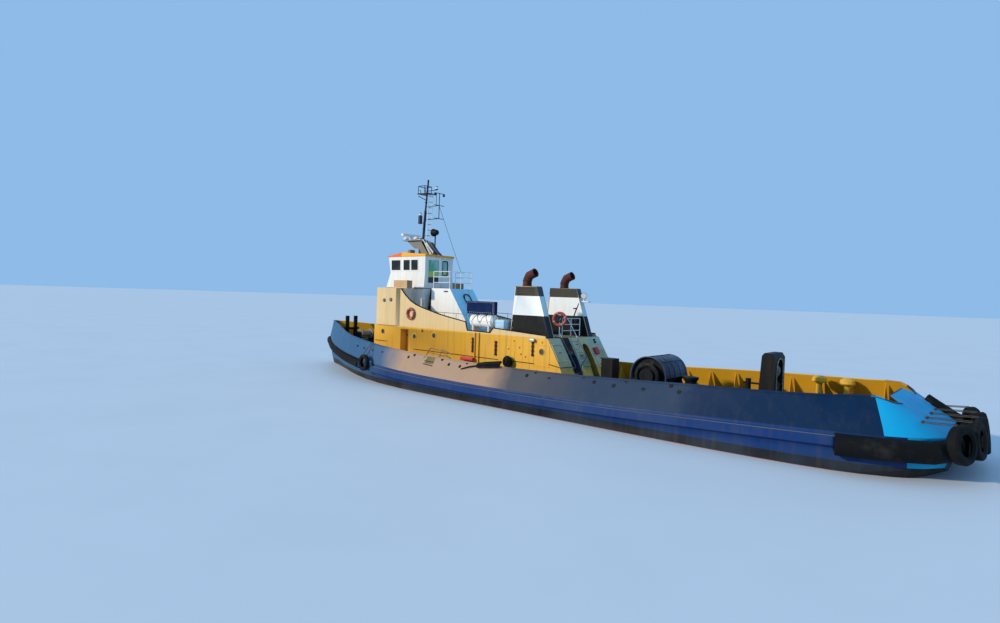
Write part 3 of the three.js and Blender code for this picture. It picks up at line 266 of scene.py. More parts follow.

# %% [markdown]
# ## Zones of paint
# One plate often carries several coats: the hull is red below the water, black at the boot top and blue
# above, and its deck is grey. The real painter masks the edges. Here the same edges come from height and from
# the way a surface faces, so the coats follow the shape and meet in clean lines. Some zones set by the way a
# surface faces are painted shade and painted highlight rather than coats.

# %% Hull and deckhouse coats
BLUE, CHALK, NAVY = srgb(48, 88, 124), srgb(72, 74, 80), srgb(4, 36, 68)
PINK, CREAM, SLATE = srgb(166, 136, 112), srgb(212, 182, 130), srgb(34, 54, 80)
SEA_BLUE, SKY_BLUE = srgb(16, 50, 104), srgb(14, 164, 212)
BOOT_TOP = 0.34
FUNNEL_BAND, FUNNEL_HEAD = 4.30, 5.26
WINCH = Vector((-7.3, 0, 1.93))


def hull_coat():
    coat = Finish("hull enamel", "hull_paint", SEA_BLUE)
    x, z = coat.axis("X"), coat.axis("Z")
    coat.tint(coat.step(x, 8.7, 2.0), BLUE)
    coat.tint(coat.below(x, -17.1), SKY_BLUE)
    coat.tint(coat.below(z, BOOT_TOP), srgb(30, 31, 34))
    coat.tint(coat.below(z, 0.02), srgb(126, 48, 38))
    coat.tint(coat.all_of(coat.step(coat.facing("Z"), 0.8, 0.05), coat.step(z, 0.6)), srgb(104, 108, 104))
    return weather(coat, srgb(72, 88, 108), streaks=0.25, rust=0.6, fade=0.3)


def bulwark_coat():
    """Blue at the bow, rubbed pale amidships, slate and navy aft, and yellow on the inner face."""
    coat = Finish("bulwark enamel", "bulwark_paint", NAVY)
    x = coat.axis("X")
    ragged = coat.math("ADD", x, coat.between(coat.noise(0.8, 5), 0, 1, (-0.8, 0.8)))
    coat.tint(coat.step(ragged, -10.3, 0.4), SLATE)
    coat.tint(coat.step(ragged, -4.6, 1.6), CHALK)
    coat.tint(coat.step(ragged, -1.2, 0.7), PINK)
    coat.tint(coat.step(ragged, 6.8, 0.9), BLUE)
    transom = coat.all_of(coat.below(coat.facing("X"), -0.33), coat.below(x, -16.0))
    coat.tint(coat.math("MAXIMUM", transom, coat.below(x, -17.1)), SKY_BLUE)
    inward = coat.below(coat.all_of(coat.facing("Y"), coat.axis("Y")), -0.1)
    dry = coat.math("MAXIMUM", coat.below(x, 13.0), coat.above("Z", 1.9))
    coat.tint(coat.all_of(inward, dry), srgb(214, 160, 36))
    return weather(coat, srgb(100, 106, 114), streaks=0.12, rust=0.5, fade=0.06)


def house_coat():
    """Yellow sides, a pale after face above its ledge and grey on top, with painted shade: navy down the
    stair recess and dark brown inside the door recess.
    """
    coat = Finish("deckhouse enamel", "yellow_paint", srgb(226, 170, 60))
    x, y, z = (coat.axis(name) for name in "XYZ")
    aft = coat.all_of(coat.below(coat.facing("X"), -0.6), coat.below(x, -2.25))
    coat.tint(coat.all_of(aft, coat.above(z, 1.86)), srgb(178, 194, 178))
    stain = coat.between(coat.noise(1.6, 6, 0.6, (1, 1, 0.4)), 0.40, 0.66, (0, 0.85))
    coat.tint(coat.all_of(aft, stain, coat.between(z, 3.3, 1.8)), srgb(118, 112, 66))
    # painted shade: the stair recess is painted navy
    stair_shade = coat.all_of(coat.above(y, 0.555), coat.below(y, 1.225), coat.below(x, -1.66), coat.below(z, 3.29))
    coat.tint(stair_shade, srgb(34, 52, 84))
    coat.tint(coat.step(coat.facing("Z"), 0.8, 0.05), srgb(118, 120, 114))
    coat.tint(coat.all_of(coat.above(z, 3.30), coat.above(x, 0.9), coat.below(x, 2.7)), srgb(206, 208, 206))
    # painted shade: the walls inside the door recess are painted dark brown
    niche_shade = coat.all_of(coat.above(y, -0.90), coat.below(y, -0.30), coat.below(x, -2.1), coat.below(z, 3.2),
                        coat.above(coat.facing("X"), -0.85))
    coat.tint(niche_shade, srgb(44, 34, 18))
    return weather(coat, srgb(220, 172, 78), streaks=0.35, rust=0.5)


def cream_coat():
    """Cream, with dark brown on the after ends of the side lights' boxes."""
    coat = Finish("cream enamel", "cream_paint", CREAM)
    coat.tint(coat.all_of(coat.below("X", 7.63), coat.above("Z", 5.4)), srgb(96, 70, 52))
    coat.tint(coat.all_of(coat.above("X", 7.63), coat.above("Z", 5.52), coat.below("X", 9.2)),
              srgb(182, 138, 100))
    coat.tint(coat.all_of(coat.below(coat.facing("X"), -0.7), coat.above("X", 8.2), coat.below("X", 8.4)),
              srgb(214, 222, 228))
    return weather(coat, srgb(218, 192, 146), streaks=0.22, rust=0.35)


def mast_coat():
    """Navy legs and pole, white ladder and struts, a pale platform."""
    coat = Finish("mast enamel", "black_paint", srgb(22, 36, 62))
    x, y, z = (coat.axis(name) for name in "XYZ")
    wide = coat.above(coat.math("ABSOLUTE", y), 0.125)
    coat.tint(coat.all_of(wide, coat.below(z, 11.38), coat.above(x, 7.7)), srgb(222, 222, 216))
    coat.tint(coat.all_of(coat.above(x, 9.05), coat.below(z, 8.7)), srgb(176, 170, 158))
    return weather(coat, srgb(70, 78, 96), streaks=0.2, rust=0.5)


def shaded_white():
    """White, with a painted sky-blue shade on the faces that look aft."""
    coat = Finish("shaded white enamel", "white_paint", srgb(232, 230, 226))
    # painted shade: the faces that look aft are tinted sky blue
    coat.tint(coat.below(coat.facing("X"), -0.5), srgb(152, 220, 244))
    return weather(coat, srgb(206, 212, 214), streaks=0.3, rust=0.35, fade=0.3)


def roof_finish():
    """The roof is orange over its fore slope and yellow abaft the ridge."""
    coat = Finish("roof enamel", "roof_paint", srgb(224, 84, 22))
    coat.tint(coat.below("X", 9.6), srgb(232, 168, 34))
    return weather(coat, srgb(236, 140, 60), streaks=0.15, rust=0.4, fade=0.4)


def rail_coat():
    """White above the boat deck, and dark grey-green below it, where the stair's hand rails come down."""
    coat = Finish("rail enamel", "white_paint", srgb(226, 230, 232))
    coat.tint(coat.below("Z", 3.3), srgb(70, 84, 78))
    return weather(coat, srgb(200, 204, 200), streaks=0.2, rust=0.4, fade=0.2)


def winch_coat():
    """Black, with a painted blue-grey highlight on the hoops and the hood over the drum."""
    coat = Finish("winch enamel", "black_paint", srgb(14, 18, 24))
    reach = coat.add("ShaderNodeVectorMath", {"operation": "DISTANCE"})
    flat = coat.add("ShaderNodeCombineXYZ", X=coat.axis("X"), Y=0.0, Z=coat.axis("Z"))
    coat.plug(reach.inputs[0], flat.outputs[0])
    coat.plug(reach.inputs[1], (WINCH.x, 0, WINCH.z))
    # painted highlight: the hoops and hood round the drum are painted blue-grey
    coat.tint(coat.all_of(coat.above(reach.outputs["Value"], 0.79), coat.above("Z", 1.3)), srgb(84, 96, 118))
    return weather(coat, srgb(26, 30, 38), streaks=0.1, rust=0.5)


def funnel_coat():
    """Black foot, white band and bare brown head, with a pale strip down the cut fore corner, and painted
    shade on the faces that look aft.
    """
    coat = Finish("funnel enamel", "black_paint", srgb(14, 14, 17))
    z, turn = coat.axis("Z"), coat.facing("X")
    coat.tint(coat.above(z, FUNNEL_BAND), srgb(240, 240, 238))
    coat.tint(coat.above(z, FUNNEL_HEAD), srgb(66, 61, 54))
    coat.tint(coat.all_of(coat.above(turn, 0.4), coat.below(turn, 0.9)), srgb(226, 216, 196))
    # painted shade: the faces that look aft are tinted pale blue over the white band, navy over the black
    # foot and blue-grey over the head
    behind = coat.below(turn, -0.5)
    coat.tint(coat.all_of(behind, coat.above(z, FUNNEL_BAND)), srgb(196, 232, 236))
    coat.tint(coat.all_of(behind, coat.below(z, FUNNEL_BAND)), srgb(22, 44, 66))
    coat.tint(coat.all_of(behind, coat.above(z, FUNNEL_HEAD)), srgb(56, 76, 90))
    return weather(coat, srgb(120, 122, 124), streaks=0.12, rust=0.4, fade=0.05)


funnel_paint = funnel_coat()
hull_paint, bulwark_paint, house_paint = hull_coat(), bulwark_coat(), house_coat()
cream, mast_paint, roof_paint, winch_paint = cream_coat(), mast_coat(), roof_finish(), winch_coat()
rail_paint = rail_coat()
print("zoned coats", len(bpy.data.materials))

# %% [markdown]
# Other finishes: rubber that has been dragged along quays, galvanised and bronze castings, canvas with
# its weave, the rings' cast plastic, glass, and rope whose strands show as a slanting wave.

# %% Other finishes
def rubber_finish():
    coat = Finish("scuffed rubber", "fender_rubber", srgb(17, 18, 20), 0.8)
    coat.shader.inputs["Specular IOR Level"].default_value = DULL
    coat.tint(coat.between(coat.noise(1.7, 7, 0.65), 0.52, 0.75, (0, 0.5)), srgb(58, 56, 54))
    coat.rub(coat.noise(6, 5), 0.6, 0.95)
    return coat.raise_by(coat.noise(9, 8, 0.7), 0.012)


def plain_finish(name, slot, colour, worn, roughness, metallic=0.0, grain=20, bump=0.002):
    coat = Finish(name, slot, colour, roughness, metallic)
    coat.tint(coat.between(coat.noise(2.4, 6), 0.45, 0.72, (0, 0.7)), worn)
    coat.rub(coat.noise(grain / 3, 5), roughness * 0.8, min(roughness * 1.4, 1))
    return coat.raise_by(coat.noise(grain, 6), bump)


def glass_finish():
    """Toughened glass, salt-hazed and dark along the sides; where it looks aft it carries a painted
    reflection of green fields, with patches of pale glare, and a yellow-green band over a dark line.
    """
    coat = Finish("window glass", "grey_paint", srgb(26, 25, 18), 0.08)
    coat.shader.inputs["Transmission Weight"].default_value = 0.15
    coat.shader.inputs["IOR"].default_value = 1.45
    coat.tint(coat.between(coat.noise(3, 5), 0.45, 0.7, (0, 0.5)), srgb(62, 64, 36))
    # painted reflection: the panes that look aft are green with the fields, and pale where glare falls
    aft = coat.below("X", 7.5)
    coat.tint(aft, srgb(104, 178, 142))
    glare = coat.between(coat.noise(2.2, 3, 0.5, (1, 1, 0.6)), 0.45, 0.62, (0, 0.8))
    coat.tint(coat.all_of(aft, glare), srgb(160, 214, 204))
    # painted reflection: a yellow-green band over a dark line across the after panes
    z = coat.axis("Z")
    coat.tint(coat.all_of(aft, coat.between(z, 6.22, 6.3), coat.between(z, 6.62, 6.5)), srgb(190, 206, 104))
    coat.tint(coat.all_of(aft, coat.between(z, 6.24, 6.2)), srgb(38, 50, 54))
    return coat.raise_by(coat.noise(3, 2), 0.001)


def canvas_finish():
    coat = Finish("blue canvas", "canvas", srgb(2, 26, 66), 0.9)
    coat.tint(coat.between(coat.noise(2.2, 6), 0.4, 0.75, (0, 0.7)), srgb(6, 42, 92))
    coat.shader.inputs["Specular IOR Level"].default_value = DULL
    coat.shader.inputs["Sheen Weight"].default_value = 0.1
    weave = coat.add("ShaderNodeTexWave", {"bands_direction": "X"}, Vector=coat.place, Scale=60.0)
    weft = coat.add("ShaderNodeTexWave", {"bands_direction": "Z"}, Vector=coat.place, Scale=60.0)
    coat.raise_by(coat.math("MAXIMUM", weave.outputs["Fac"], weft.outputs["Fac"]), 0.001)
    return coat.raise_by(coat.noise(2.0, 4), 0.02)


def rope_finish(name, slot, colour, worn, lay=14.0):
    coat = Finish(name, slot, colour, 0.85)
    coat.tint(coat.between(coat.noise(4, 6), 0.4, 0.7, (0, 0.8)), worn)
    strands = coat.add("ShaderNodeTexWave", {"bands_direction": "DIAGONAL"}, Vector=coat.place, Scale=lay,
                       Distortion=1.0)
    coat.tint(coat.between(strands.outputs["Fac"], 0.0, 0.35, (0.7, 0)), GRIME)
    return coat.raise_by(strands.outputs["Fac"], 0.01)


rubber = rubber_finish()
glass = glass_finish()
canvas = canvas_finish()
dark_glass = plain_finish("port glass", "grey_paint", srgb(20, 28, 30), srgb(44, 56, 56), 0.06, bump=0.0005)
chrome = plain_finish("galvanised steel", "grey_paint", srgb(168, 170, 168), srgb(120, 118, 112), 0.4, 0.8)
bronze = plain_finish("cast bronze", "bronze", srgb(172, 136, 74), srgb(96, 106, 80), 0.38, 0.9, 8, 0.004)
ring_shell = plain_finish("ring shell", "ring_plastic", srgb(156, 62, 50), srgb(176, 104, 86), 0.55)
ring_band = plain_finish("ring band", "raft_plastic", srgb(196, 140, 122), srgb(176, 120, 102), 0.6)
raft_shell = plain_finish("raft gel coat", "raft_plastic", srgb(246, 244, 240), srgb(214, 214, 208), 0.35)
seat_cloth = plain_finish("seat cover", "seat_cover", srgb(36, 36, 40), srgb(62, 60, 60), 0.6, 0, 40, 0.002)
soot = plain_finish("exhaust rust", "rusty_steel", srgb(84, 40, 28), srgb(36, 24, 22), 0.85, 0.2, 12, 0.006)
lens_white = plain_finish("clear lens", "raft_plastic", srgb(240, 240, 232), srgb(214, 216, 206), 0.12)
lens_amber = plain_finish("amber lens", "yellow_paint", srgb(238, 170, 52), srgb(214, 140, 40), 0.15)
pale_green = plain_finish("pale green paint", "cream_paint", srgb(186, 200, 184), srgb(150, 152, 112), 0.5)
# painted shade: the lockers are white, coloured pale blue for the shade they stand in
locker_white_shaded = plain_finish("locker white in painted shade", "white_paint", srgb(150, 190, 214), srgb(176, 204, 220), 0.5)
rail_green = plain_finish("stained rail paint", "cream_paint", srgb(150, 164, 142), srgb(96, 104, 84), 0.6)
# painted highlight: blue-grey for the lit edges of the bands over the winch
winch_highlight = plain_finish("winch band highlight", "black_paint", srgb(70, 88, 112), srgb(34, 44, 60), 0.4, 0.3)
# painted shade: the gate's olive is dirty yellow darkened as if in shade
gate_dirt_and_shade = plain_finish("gate paint with dirt and painted shade", "yellow_paint", srgb(112, 98, 56), srgb(84, 78, 54), 0.7)
navy_trim = plain_finish("navy trim", "black_paint", srgb(10, 26, 52), srgb(24, 44, 74), 0.4)
hose_red = plain_finish("red hose box", "ring_plastic", srgb(196, 44, 34), srgb(150, 52, 40), 0.5)
cordage = rope_finish("tarred rope", "black_paint", srgb(46, 44, 44), srgb(84, 78, 70))
pale_rope = rope_finish("pale rope", "canvas", srgb(206, 198, 178), srgb(160, 150, 130), 40.0)
wire = rope_finish("wire rope", "grey_paint", srgb(70, 66, 62), srgb(112, 80, 56), 30.0)
print("materials", len(bpy.data.materials))

# %% [markdown]
# ## Shapes from bmesh operators
# Fittings are made the way a fitter would: plates cut and rounded, bars drawn along a line, discs and
# drums turned on a lathe. Each helper below returns a small bmesh in its own space, and a Kit places
# such shapes and turns the lot into one finished piece that rides on a body of the boat.

# %% Shape helpers
TURN = 2 * math.pi


def at(centre, out=(0, 0, 1), up=None):
    """A place: local z points along out, and local y as near to up as it can."""
    z = Vector(out).normalized()
    guide = Vector(up) if up else (Z if abs(z.z) < 0.9 else X)
    x = guide.cross(z).normalized()
    place = Matrix((x, z.cross(x), z)).transposed().to_4x4()
    place.translation = Vector(centre)
    return place


def soften(bm, edges, offset, segments=2):
    bmesh.ops.bevel(bm, geom=list(edges), offset=offset, offset_type="OFFSET", segments=segments,
                    profile=0.5, affect="EDGES", material=-1)
    return bm


def box(low, high, soft=0.0):
    low, high = Vector(tuple(map(min, low, high))), Vector(tuple(map(max, low, high)))
    bm = bmesh.new()
    place = Matrix.Translation((low + high) / 2) @ Matrix.Diagonal((*(high - low), 1))
    bmesh.ops.create_cube(bm, size=1, matrix=place)
    return soften(bm, bm.edges, soft) if soft else bm


def rod(start, end, radius, tip=None, sides=10):
    start, end = Vector(start), Vector(end)
    bm = bmesh.new()
    bmesh.ops.create_cone(bm, cap_ends=True, segments=sides, radius1=radius,
                          radius2=radius if tip is None else tip, depth=(end - start).length,
                          matrix=at((start + end) / 2, end - start))
    return bm


def plate(width, height, corner, thick, rim=0.0):
    """A plate with round corners in the local x-y plane, or with a rim width, an open frame."""
    bm = bmesh.new()
    bmesh.ops.create_grid(bm, x_segments=1, y_segments=1, size=0.5,
                          matrix=Matrix.Diagonal((width, height, 1, 1)))
    if corner:
        bmesh.ops.bevel(bm, geom=bm.verts[:], offset=corner, offset_type="OFFSET", segments=4,
                        profile=0.5, affect="VERTICES", material=-1)
    if rim:
        centre = bm.faces[:]
        bmesh.ops.inset_region(bm, faces=centre, thickness=rim, use_boundary=True, use_even_offset=True)
        bmesh.ops.delete(bm, geom=centre, context="FACES")
    raised = bmesh.ops.extrude_face_region(bm, geom=bm.faces[:])
    lifted = [v for v in raised["geom"] if isinstance(v, bmesh.types.BMVert)]
    bmesh.ops.translate(bm, vec=(0, 0, thick), verts=lifted)
    return bm


def spun(bm, steps, angle=TURN):
    """All that is in bm turned about local z, closed where the turn is a full one."""
    bmesh.ops.spin(bm, geom=bm.verts[:] + bm.edges[:], cent=(0, 0, 0), axis=(0, 0, 1), dvec=(0, 0, 0),
                   angle=angle, steps=steps, use_merge=angle == TURN, use_duplicate=False)
    bmesh.ops.remove_doubles(bm, verts=bm.verts, dist=1e-5)
    return bm


def turned(profile, steps=24):
    """A profile of (radius, height) turned about local z."""
    bm = bmesh.new()
    verts = [bm.verts.new((radius, 0, height)) for radius, height in profile]
    for pair in zip(verts, verts[1:]):
        bm.edges.new(pair)
    return spun(bm, steps)


def disc(radius, height, steps, crown=None, foot=0.0):
    """A flat disc, or one that rises to a crown at its centre."""
    crown = height if crown is None else crown
    return turned([(0, foot), (radius, foot), (radius, height), (0, crown)], steps)


def boss(wide, rise, narrow, height, steps):
    """A disc with a sloped shoulder from its rim up to a smaller top."""
    return turned([(0, 0), (wide, 0), (wide, rise), (narrow, height), (0, height)], steps)


def ring(major, minor, steps=28, sides=8, angle=TURN):
    bm = bmesh.new()
    start = Matrix.Translation((major, 0, 0)) @ Matrix.Rotation(math.pi / 2, 4, "X")
    bmesh.ops.create_circle(bm, segments=sides, radius=minor, matrix=start)
    return spun(bm, steps, angle)


def bar(points, radius, sides=8, smooth=0):
    """A round bar drawn along points: its end face is drawn out and turned at each one."""
    path = smooth_line(points, smooth) if smooth else [Vector(p) for p in points]
    runs = [(b - a).normalized() for a, b in zip(path, path[1:])]
    aims = [runs[0], *[(a + b).normalized() for a, b in zip(runs, runs[1:])], runs[-1]]
    bm = bmesh.new()
    bmesh.ops.create_circle(bm, cap_ends=True, segments=sides, radius=radius, matrix=at(path[0], aims[0]))
    end = bm.faces[:]
    for i in range(1, len(path)):
        drawn = bmesh.ops.extrude_face_region(bm, geom=end)["geom"]
        end = [f for f in drawn if isinstance(f, bmesh.types.BMFace)]
        verts = [v for v in drawn if isinstance(v, bmesh.types.BMVert)]
        turn = aims[i - 1].rotation_difference(aims[i]).to_matrix()
        bmesh.ops.translate(bm, vec=path[i] - path[i - 1], verts=verts)
        bmesh.ops.rotate(bm, cent=path[i], matrix=turn, verts=verts)
    return bm


def smooth_line(points, steps):
    """Points along the smooth curve through a few given ones."""
    path = [Vector(p) for p in points]
    ends = [path[0] * 2 - path[1], *path, path[-1] * 2 - path[-2]]
    line = []
    for a, b, c, d in zip(ends, ends[1:], ends[2:], ends[3:]):
        for i in range(steps):
            t = i / steps
            line.append(0.5 * (2 * b + (c - a) * t + (2 * a - 5 * b + 4 * c - d) * t * t
                               + (3 * b - a - 3 * c + d) * t ** 3))
    return [*line, path[-1]]


def round_about(place, count, radius, lift):
    """Places set evenly on a circle round another one."""
    for i in range(count):
        turn = TURN * i / count
        yield place @ Matrix.Translation((radius * math.cos(turn), radius * math.sin(turn), lift))


def degrees(start, stop, step):
    return [math.radians(d) for d in range(start, stop, step)]


class Kit:
    """Gathers shapes into one piece."""

    def __init__(self):
        self.bm = bmesh.new()

    def put(self, part, place=Matrix.Identity(4)):
        bmesh.ops.transform(part, matrix=place, verts=part.verts)
        bmesh.ops.recalc_face_normals(part, faces=part.faces)
        mesh = bpy.data.meshes.new("part")
        part.to_mesh(mesh)
        part.free()
        self.bm.from_mesh(mesh)
        bpy.data.meshes.remove(mesh)
        return self

    def done(self, name, finish, body="ship", angle=35, replaces=()):
        mesh = bpy.data.meshes.new(name)
        self.bm.to_mesh(mesh)
        self.bm.free()
        mesh.materials.append(finish.material)
        mesh.shade_smooth()
        mesh.set_sharp_from_angle(angle=math.radians(angle))
        made = bpy.data.objects.new(name, mesh)
        bpy.context.scene.collection.objects.link(made)
        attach(made, body)
        if replaces:
            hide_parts(*replaces)
        return made


print("shape helpers ready")

# %% [markdown]
# ## Skins for the curved plates
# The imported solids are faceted. Where the real plate is rolled, a copy of the solid is merged, so that
# faces share their edges, its small facets are shaded as one curve, and it stands in for the solid.
# Flat work keeps the solid itself and only takes a finish.

# %% Skins and coats
SKIN_ANGLE = 28
HOOP_FROM, HOOP_TO, HOOP_SHARE = 0.9, 1.0, 0.87


def skin(node, finish, body="ship"):
    kit = Kit()
    kit.bm.from_mesh(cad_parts[node].data)
    bmesh.ops.remove_doubles(kit.bm, verts=kit.bm.verts, dist=1e-4)
    bmesh.ops.dissolve_limit(kit.bm, angle_limit=math.radians(0.4), verts=kit.bm.verts, edges=kit.bm.edges)
    kit.done(node + "_skin", finish, body, SKIN_ANGLE, (node,))


def tighten_hoops(made):
    """The hoops over the winch follow its hood, a little inside the solid's plain arcs."""
    for v in made.data.vertices:
        dx, dz = v.co.x - WINCH.x, v.co.z - WINCH.z
        if dz > -0.05 and math.hypot(dx, dz) > HOOP_FROM:
            v.co.x, v.co.z = WINCH.x + dx * HOOP_SHARE, WINCH.z + dz * HOOP_SHARE
        elif dz <= -0.05 and v.co.z > 1.14 and HOOP_FROM < abs(dx) < HOOP_TO:
            v.co.x = WINCH.x + dx * HOOP_SHARE


def coat(finish, *nodes):
    for node in nodes:
        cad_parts[node].data.materials.clear()
        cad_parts[node].data.materials.append(finish.material)


def both(name):
    return [f"{name}_{side}" for side, _ in SIDES]


SKINS = [
    (["hull"], hull_paint), (both("bulwark"), bulwark_paint), (["fender_bow"], rubber),
    (both("nozzle"), hull_paint), (both("exhaust"), soot), (both("liferaft"), raft_shell),
    (["bridge_block"], cream), (["deckhouse"], house_paint), (["winch_frame"], winch_paint),
    (["capstan_base", *both("bitts"), "bitts_bow", "tow_arch", "windlass_frame"], black),
    (["mast"], mast_paint), (both("funnel"), funnel_paint), (["bridge_rail", "boat_deck_rail"], rail_paint),
    (["quarter_vents"], yellow),
]
MOVING_SKINS = [
    (both("propeller"), bronze), (both("rudder"), hull_paint), (["winch_drum", "capstan_head"], black),
    (["arch_sheave", "windlass_drum"], grey), (["searchlight"], black), (["radar_scanner"], white),
]
for nodes, finish in SKINS:
    for node in nodes:
        skin(node, finish)
tighten_hoops(bpy.data.objects["winch_frame_skin"])
for nodes, finish in MOVING_SKINS:
    for node in nodes:
        skin(node, finish, node)
coat(white, "wheelhouse_trunk", *both("wheelhouse"), "wheelhouse_front", "wheelhouse_aft", "wheelhouse_door")
coat(shaded_white(), "casing", "casing_door")
coat(house_paint, *both("side_door"), "aft_door")
coat(cream, *both("side_screen"))
coat(grey, "wheelhouse_floor", "helm_console")
coat(roof_paint, "wheelhouse_roof")
coat(black, "power_box")
coat(wire, "main_stay")
coat(ring_shell, "life_ring_side", "life_ring_aft")
coat(canvas, "canvas_box")
print("skins", sum(len(nodes) for nodes, _ in SKINS + MOVING_SKINS))

# %% [markdown]
# ## Lines read from the solids
# Cap rails and rubber strips follow edges that the solids already have. The edge between two kinds of face is
# walked from end to end, so a strip fits its plate whatever the plate's size.

# %% Edge walker
def shared_edge(node, first, second):
    """The longest line along which faces of two kinds meet, from its after end."""
    bm = bmesh.new()
    bm.from_mesh(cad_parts[node].data)
    bmesh.ops.remove_doubles(bm, verts=bm.verts, dist=1e-4)
    bm.normal_update()
    near = {}
    for edge in bm.edges:
        normals = [face.normal for face in edge.link_faces]
        if len(normals) == 2 and any(first(a) and second(b) for a, b in (normals, normals[::-1])):
            a, b = edge.verts
            near.setdefault(a, []).append(b)
            near.setdefault(b, []).append(a)
    lines, seen = [], set()
    for here in sorted(near, key=lambda v: (len(near[v]) > 1, v.co.x)):
        line = []
        while here and here not in seen:
            line.append(here.co.copy())
            seen.add(here)
            here = max((v for v in near[here] if v not in seen), key=lambda v: v.co.x, default=None)
        lines.append(line)
    bm.free()
    return max(lines, key=lambda line: line[-1].x - line[0].x if line else 0)


def along(line, x):
    """The point of a line at a given x."""
    for a, b in zip(line, line[1:]):
        if min(a.x, b.x) <= x <= max(a.x, b.x) and abs(a.x - b.x) > 1e-6:
            return a.lerp(b, (x - a.x) / (b.x - a.x))
    return line[0] if abs(line[0].x - x) < abs(line[-1].x - x) else line[-1]


RIMS = {name: shared_edge(f"bulwark_{name}", lambda n: n.z > 0.9,
                          lambda n, s=side: n.y * s > 0.05 or n.x > 0.3) for name, side in SIDES}
print("rim points", {name: len(line) for name, line in RIMS.items()})

# %% [markdown]
# ## Bulwark cap and stays
# A half-round bar is welded on the bulwark's top edge to take the ropes' chafe, and triangular webs stand
# inside it at every second frame to hold the plate up against the sea. The bar is drawn along the edge
# and the webs are one small plate, repeated. A bent plate closes each corner where the side turns into
# the transom.

# %% Cap rails and stays
CAP_RADIUS = 0.045
STAY_FROM, STAY_TO, STAY_SPACING = -15.6, 14.5, 1.22
STAY_THICK = 0.016
CORNER_OUT, CORNER_IN = 0.006, 0.05


def web(corners, thick_along):
    """A flat plate with the given corners, extruded along a vector."""
    bm = bmesh.new()
    face = bm.faces.new([bm.verts.new(corner) for corner in corners])
    drawn = bmesh.ops.extrude_face_region(bm, geom=[face])["geom"]
    bmesh.ops.translate(bm, vec=thick_along, verts=[v for v in drawn if isinstance(v, bmesh.types.BMVert)])
    return bm


def deck_height(x):
    return along(DECK_EDGE, x).z


def shell(rows, outward, inward):
    """A bent plate drawn out from row to row, with a skin a little outside the line and one inside."""
    sections = []
    for (low, high), before, after in zip(rows, [rows[0], *rows], [*rows[1:], rows[-1]]):
        out = (high - low).cross(after[0] - before[0]).normalized()
        sections.append([low + out * outward, high + out * outward, high - out * inward, low - out * inward])
    bm = bmesh.new()
    end = bm.faces.new([bm.verts.new(p) for p in sections[0]])
    for section in sections[1:]:
        drawn = bmesh.ops.extrude_face_region(bm, geom=[end, *end.edges])["geom"]
        end = next(f for f in drawn if isinstance(f, bmesh.types.BMFace))
        for v, p in zip(end.verts[:], section):
            v.co = p
    return bm


CORNER = [((-17.95, 2.1, 1.3), (-16.7, 1.4, 2.11)), ((-17.95, 2.3, 1.3), (-16.7, 1.6, 2.11)),
          ((-17.725, 2.62, 1.301), (-16.631, 1.952, 2.149)), ((-17.5, 2.9, 1.3), (-16.55, 2.25, 2.19)),
          ((-17.1, 3.202, 1.296), (-16.345, 2.504, 2.297)), ((-16.7, 3.4, 1.29), (-16.1, 2.64, 2.38)),
          ((-15.95, 3.673, 1.281), (-15.585, 2.872, 2.371))]
DECK_EDGE = shared_edge("hull", lambda n: n.z > 0.9, lambda n: n.y > 0.5)
for name, side in SIDES:
    rim = RIMS[name]
    Kit().put(bar([p - Z * 0.01 for p in rim], CAP_RADIUS, 6)).done(f"cap_rail_{name}", bulwark_paint)
    stays = Kit()
    x = STAY_FROM
    while x < STAY_TO:
        top, foot = along(rim, x), along(DECK_EDGE, x)
        inner_top = (x, top.y - side * 0.13, top.z - 0.1)
        inner_foot = (x, side * (foot.y - 0.14), foot.z + 0.01)
        toe = (x, side * (min(foot.y, abs(top.y)) - 0.36), foot.z + 0.01)
        stays.put(web([inner_top, inner_foot, toe], X * STAY_THICK))
        x += STAY_SPACING
    stays.done(f"stays_{name}", yellow)
    rows = [[Vector((x, side * y, z)) for x, y, z in row] for row in CORNER]
    Kit().put(shell(rows, CORNER_OUT * side, CORNER_IN * side)).done(f"stern_corner_{name}", bulwark_paint)
    edge = [(x, side * y, z - 0.01) for _, (x, y, z) in CORNER[1:]]
    Kit().put(bar(edge, CAP_RADIUS, 6)).done(f"stern_cap_{name}", navy_trim)
print("deck edge", len(DECK_EDGE), "points")

# %% [markdown]
# ## Tyres
# Old tyres hang over the side as fenders. A tyre is a turned section with a hollow inside, and its tread
# would be blocks on a new one, but these are worn nearly smooth, so the section alone carries the look.

# %% Tyres
TYRE_WALL = 0.03


def tyre(radius, width):
    """The outside from edge to edge as shares of the size, then the hollow, both turned together."""
    outer = [(radius * r, width * w) for r, w in ((1, 0.30), (0.93, 0.47), (0.70, 0.5), (0.56, 0.34))]
    hollow = [(radius * 0.60, width * 0.30), (radius * 0.72, width * 0.5 - TYRE_WALL),
              (radius - TYRE_WALL * 1.5, width * 0.3)]
    half = [*outer, *hollow]
    return turned([*[(r, -w) for r, w in outer[::-1]], *half, *[(r, -w) for r, w in hollow[::-1]],
                   (outer[-1][0], -outer[-1][1])], 28)


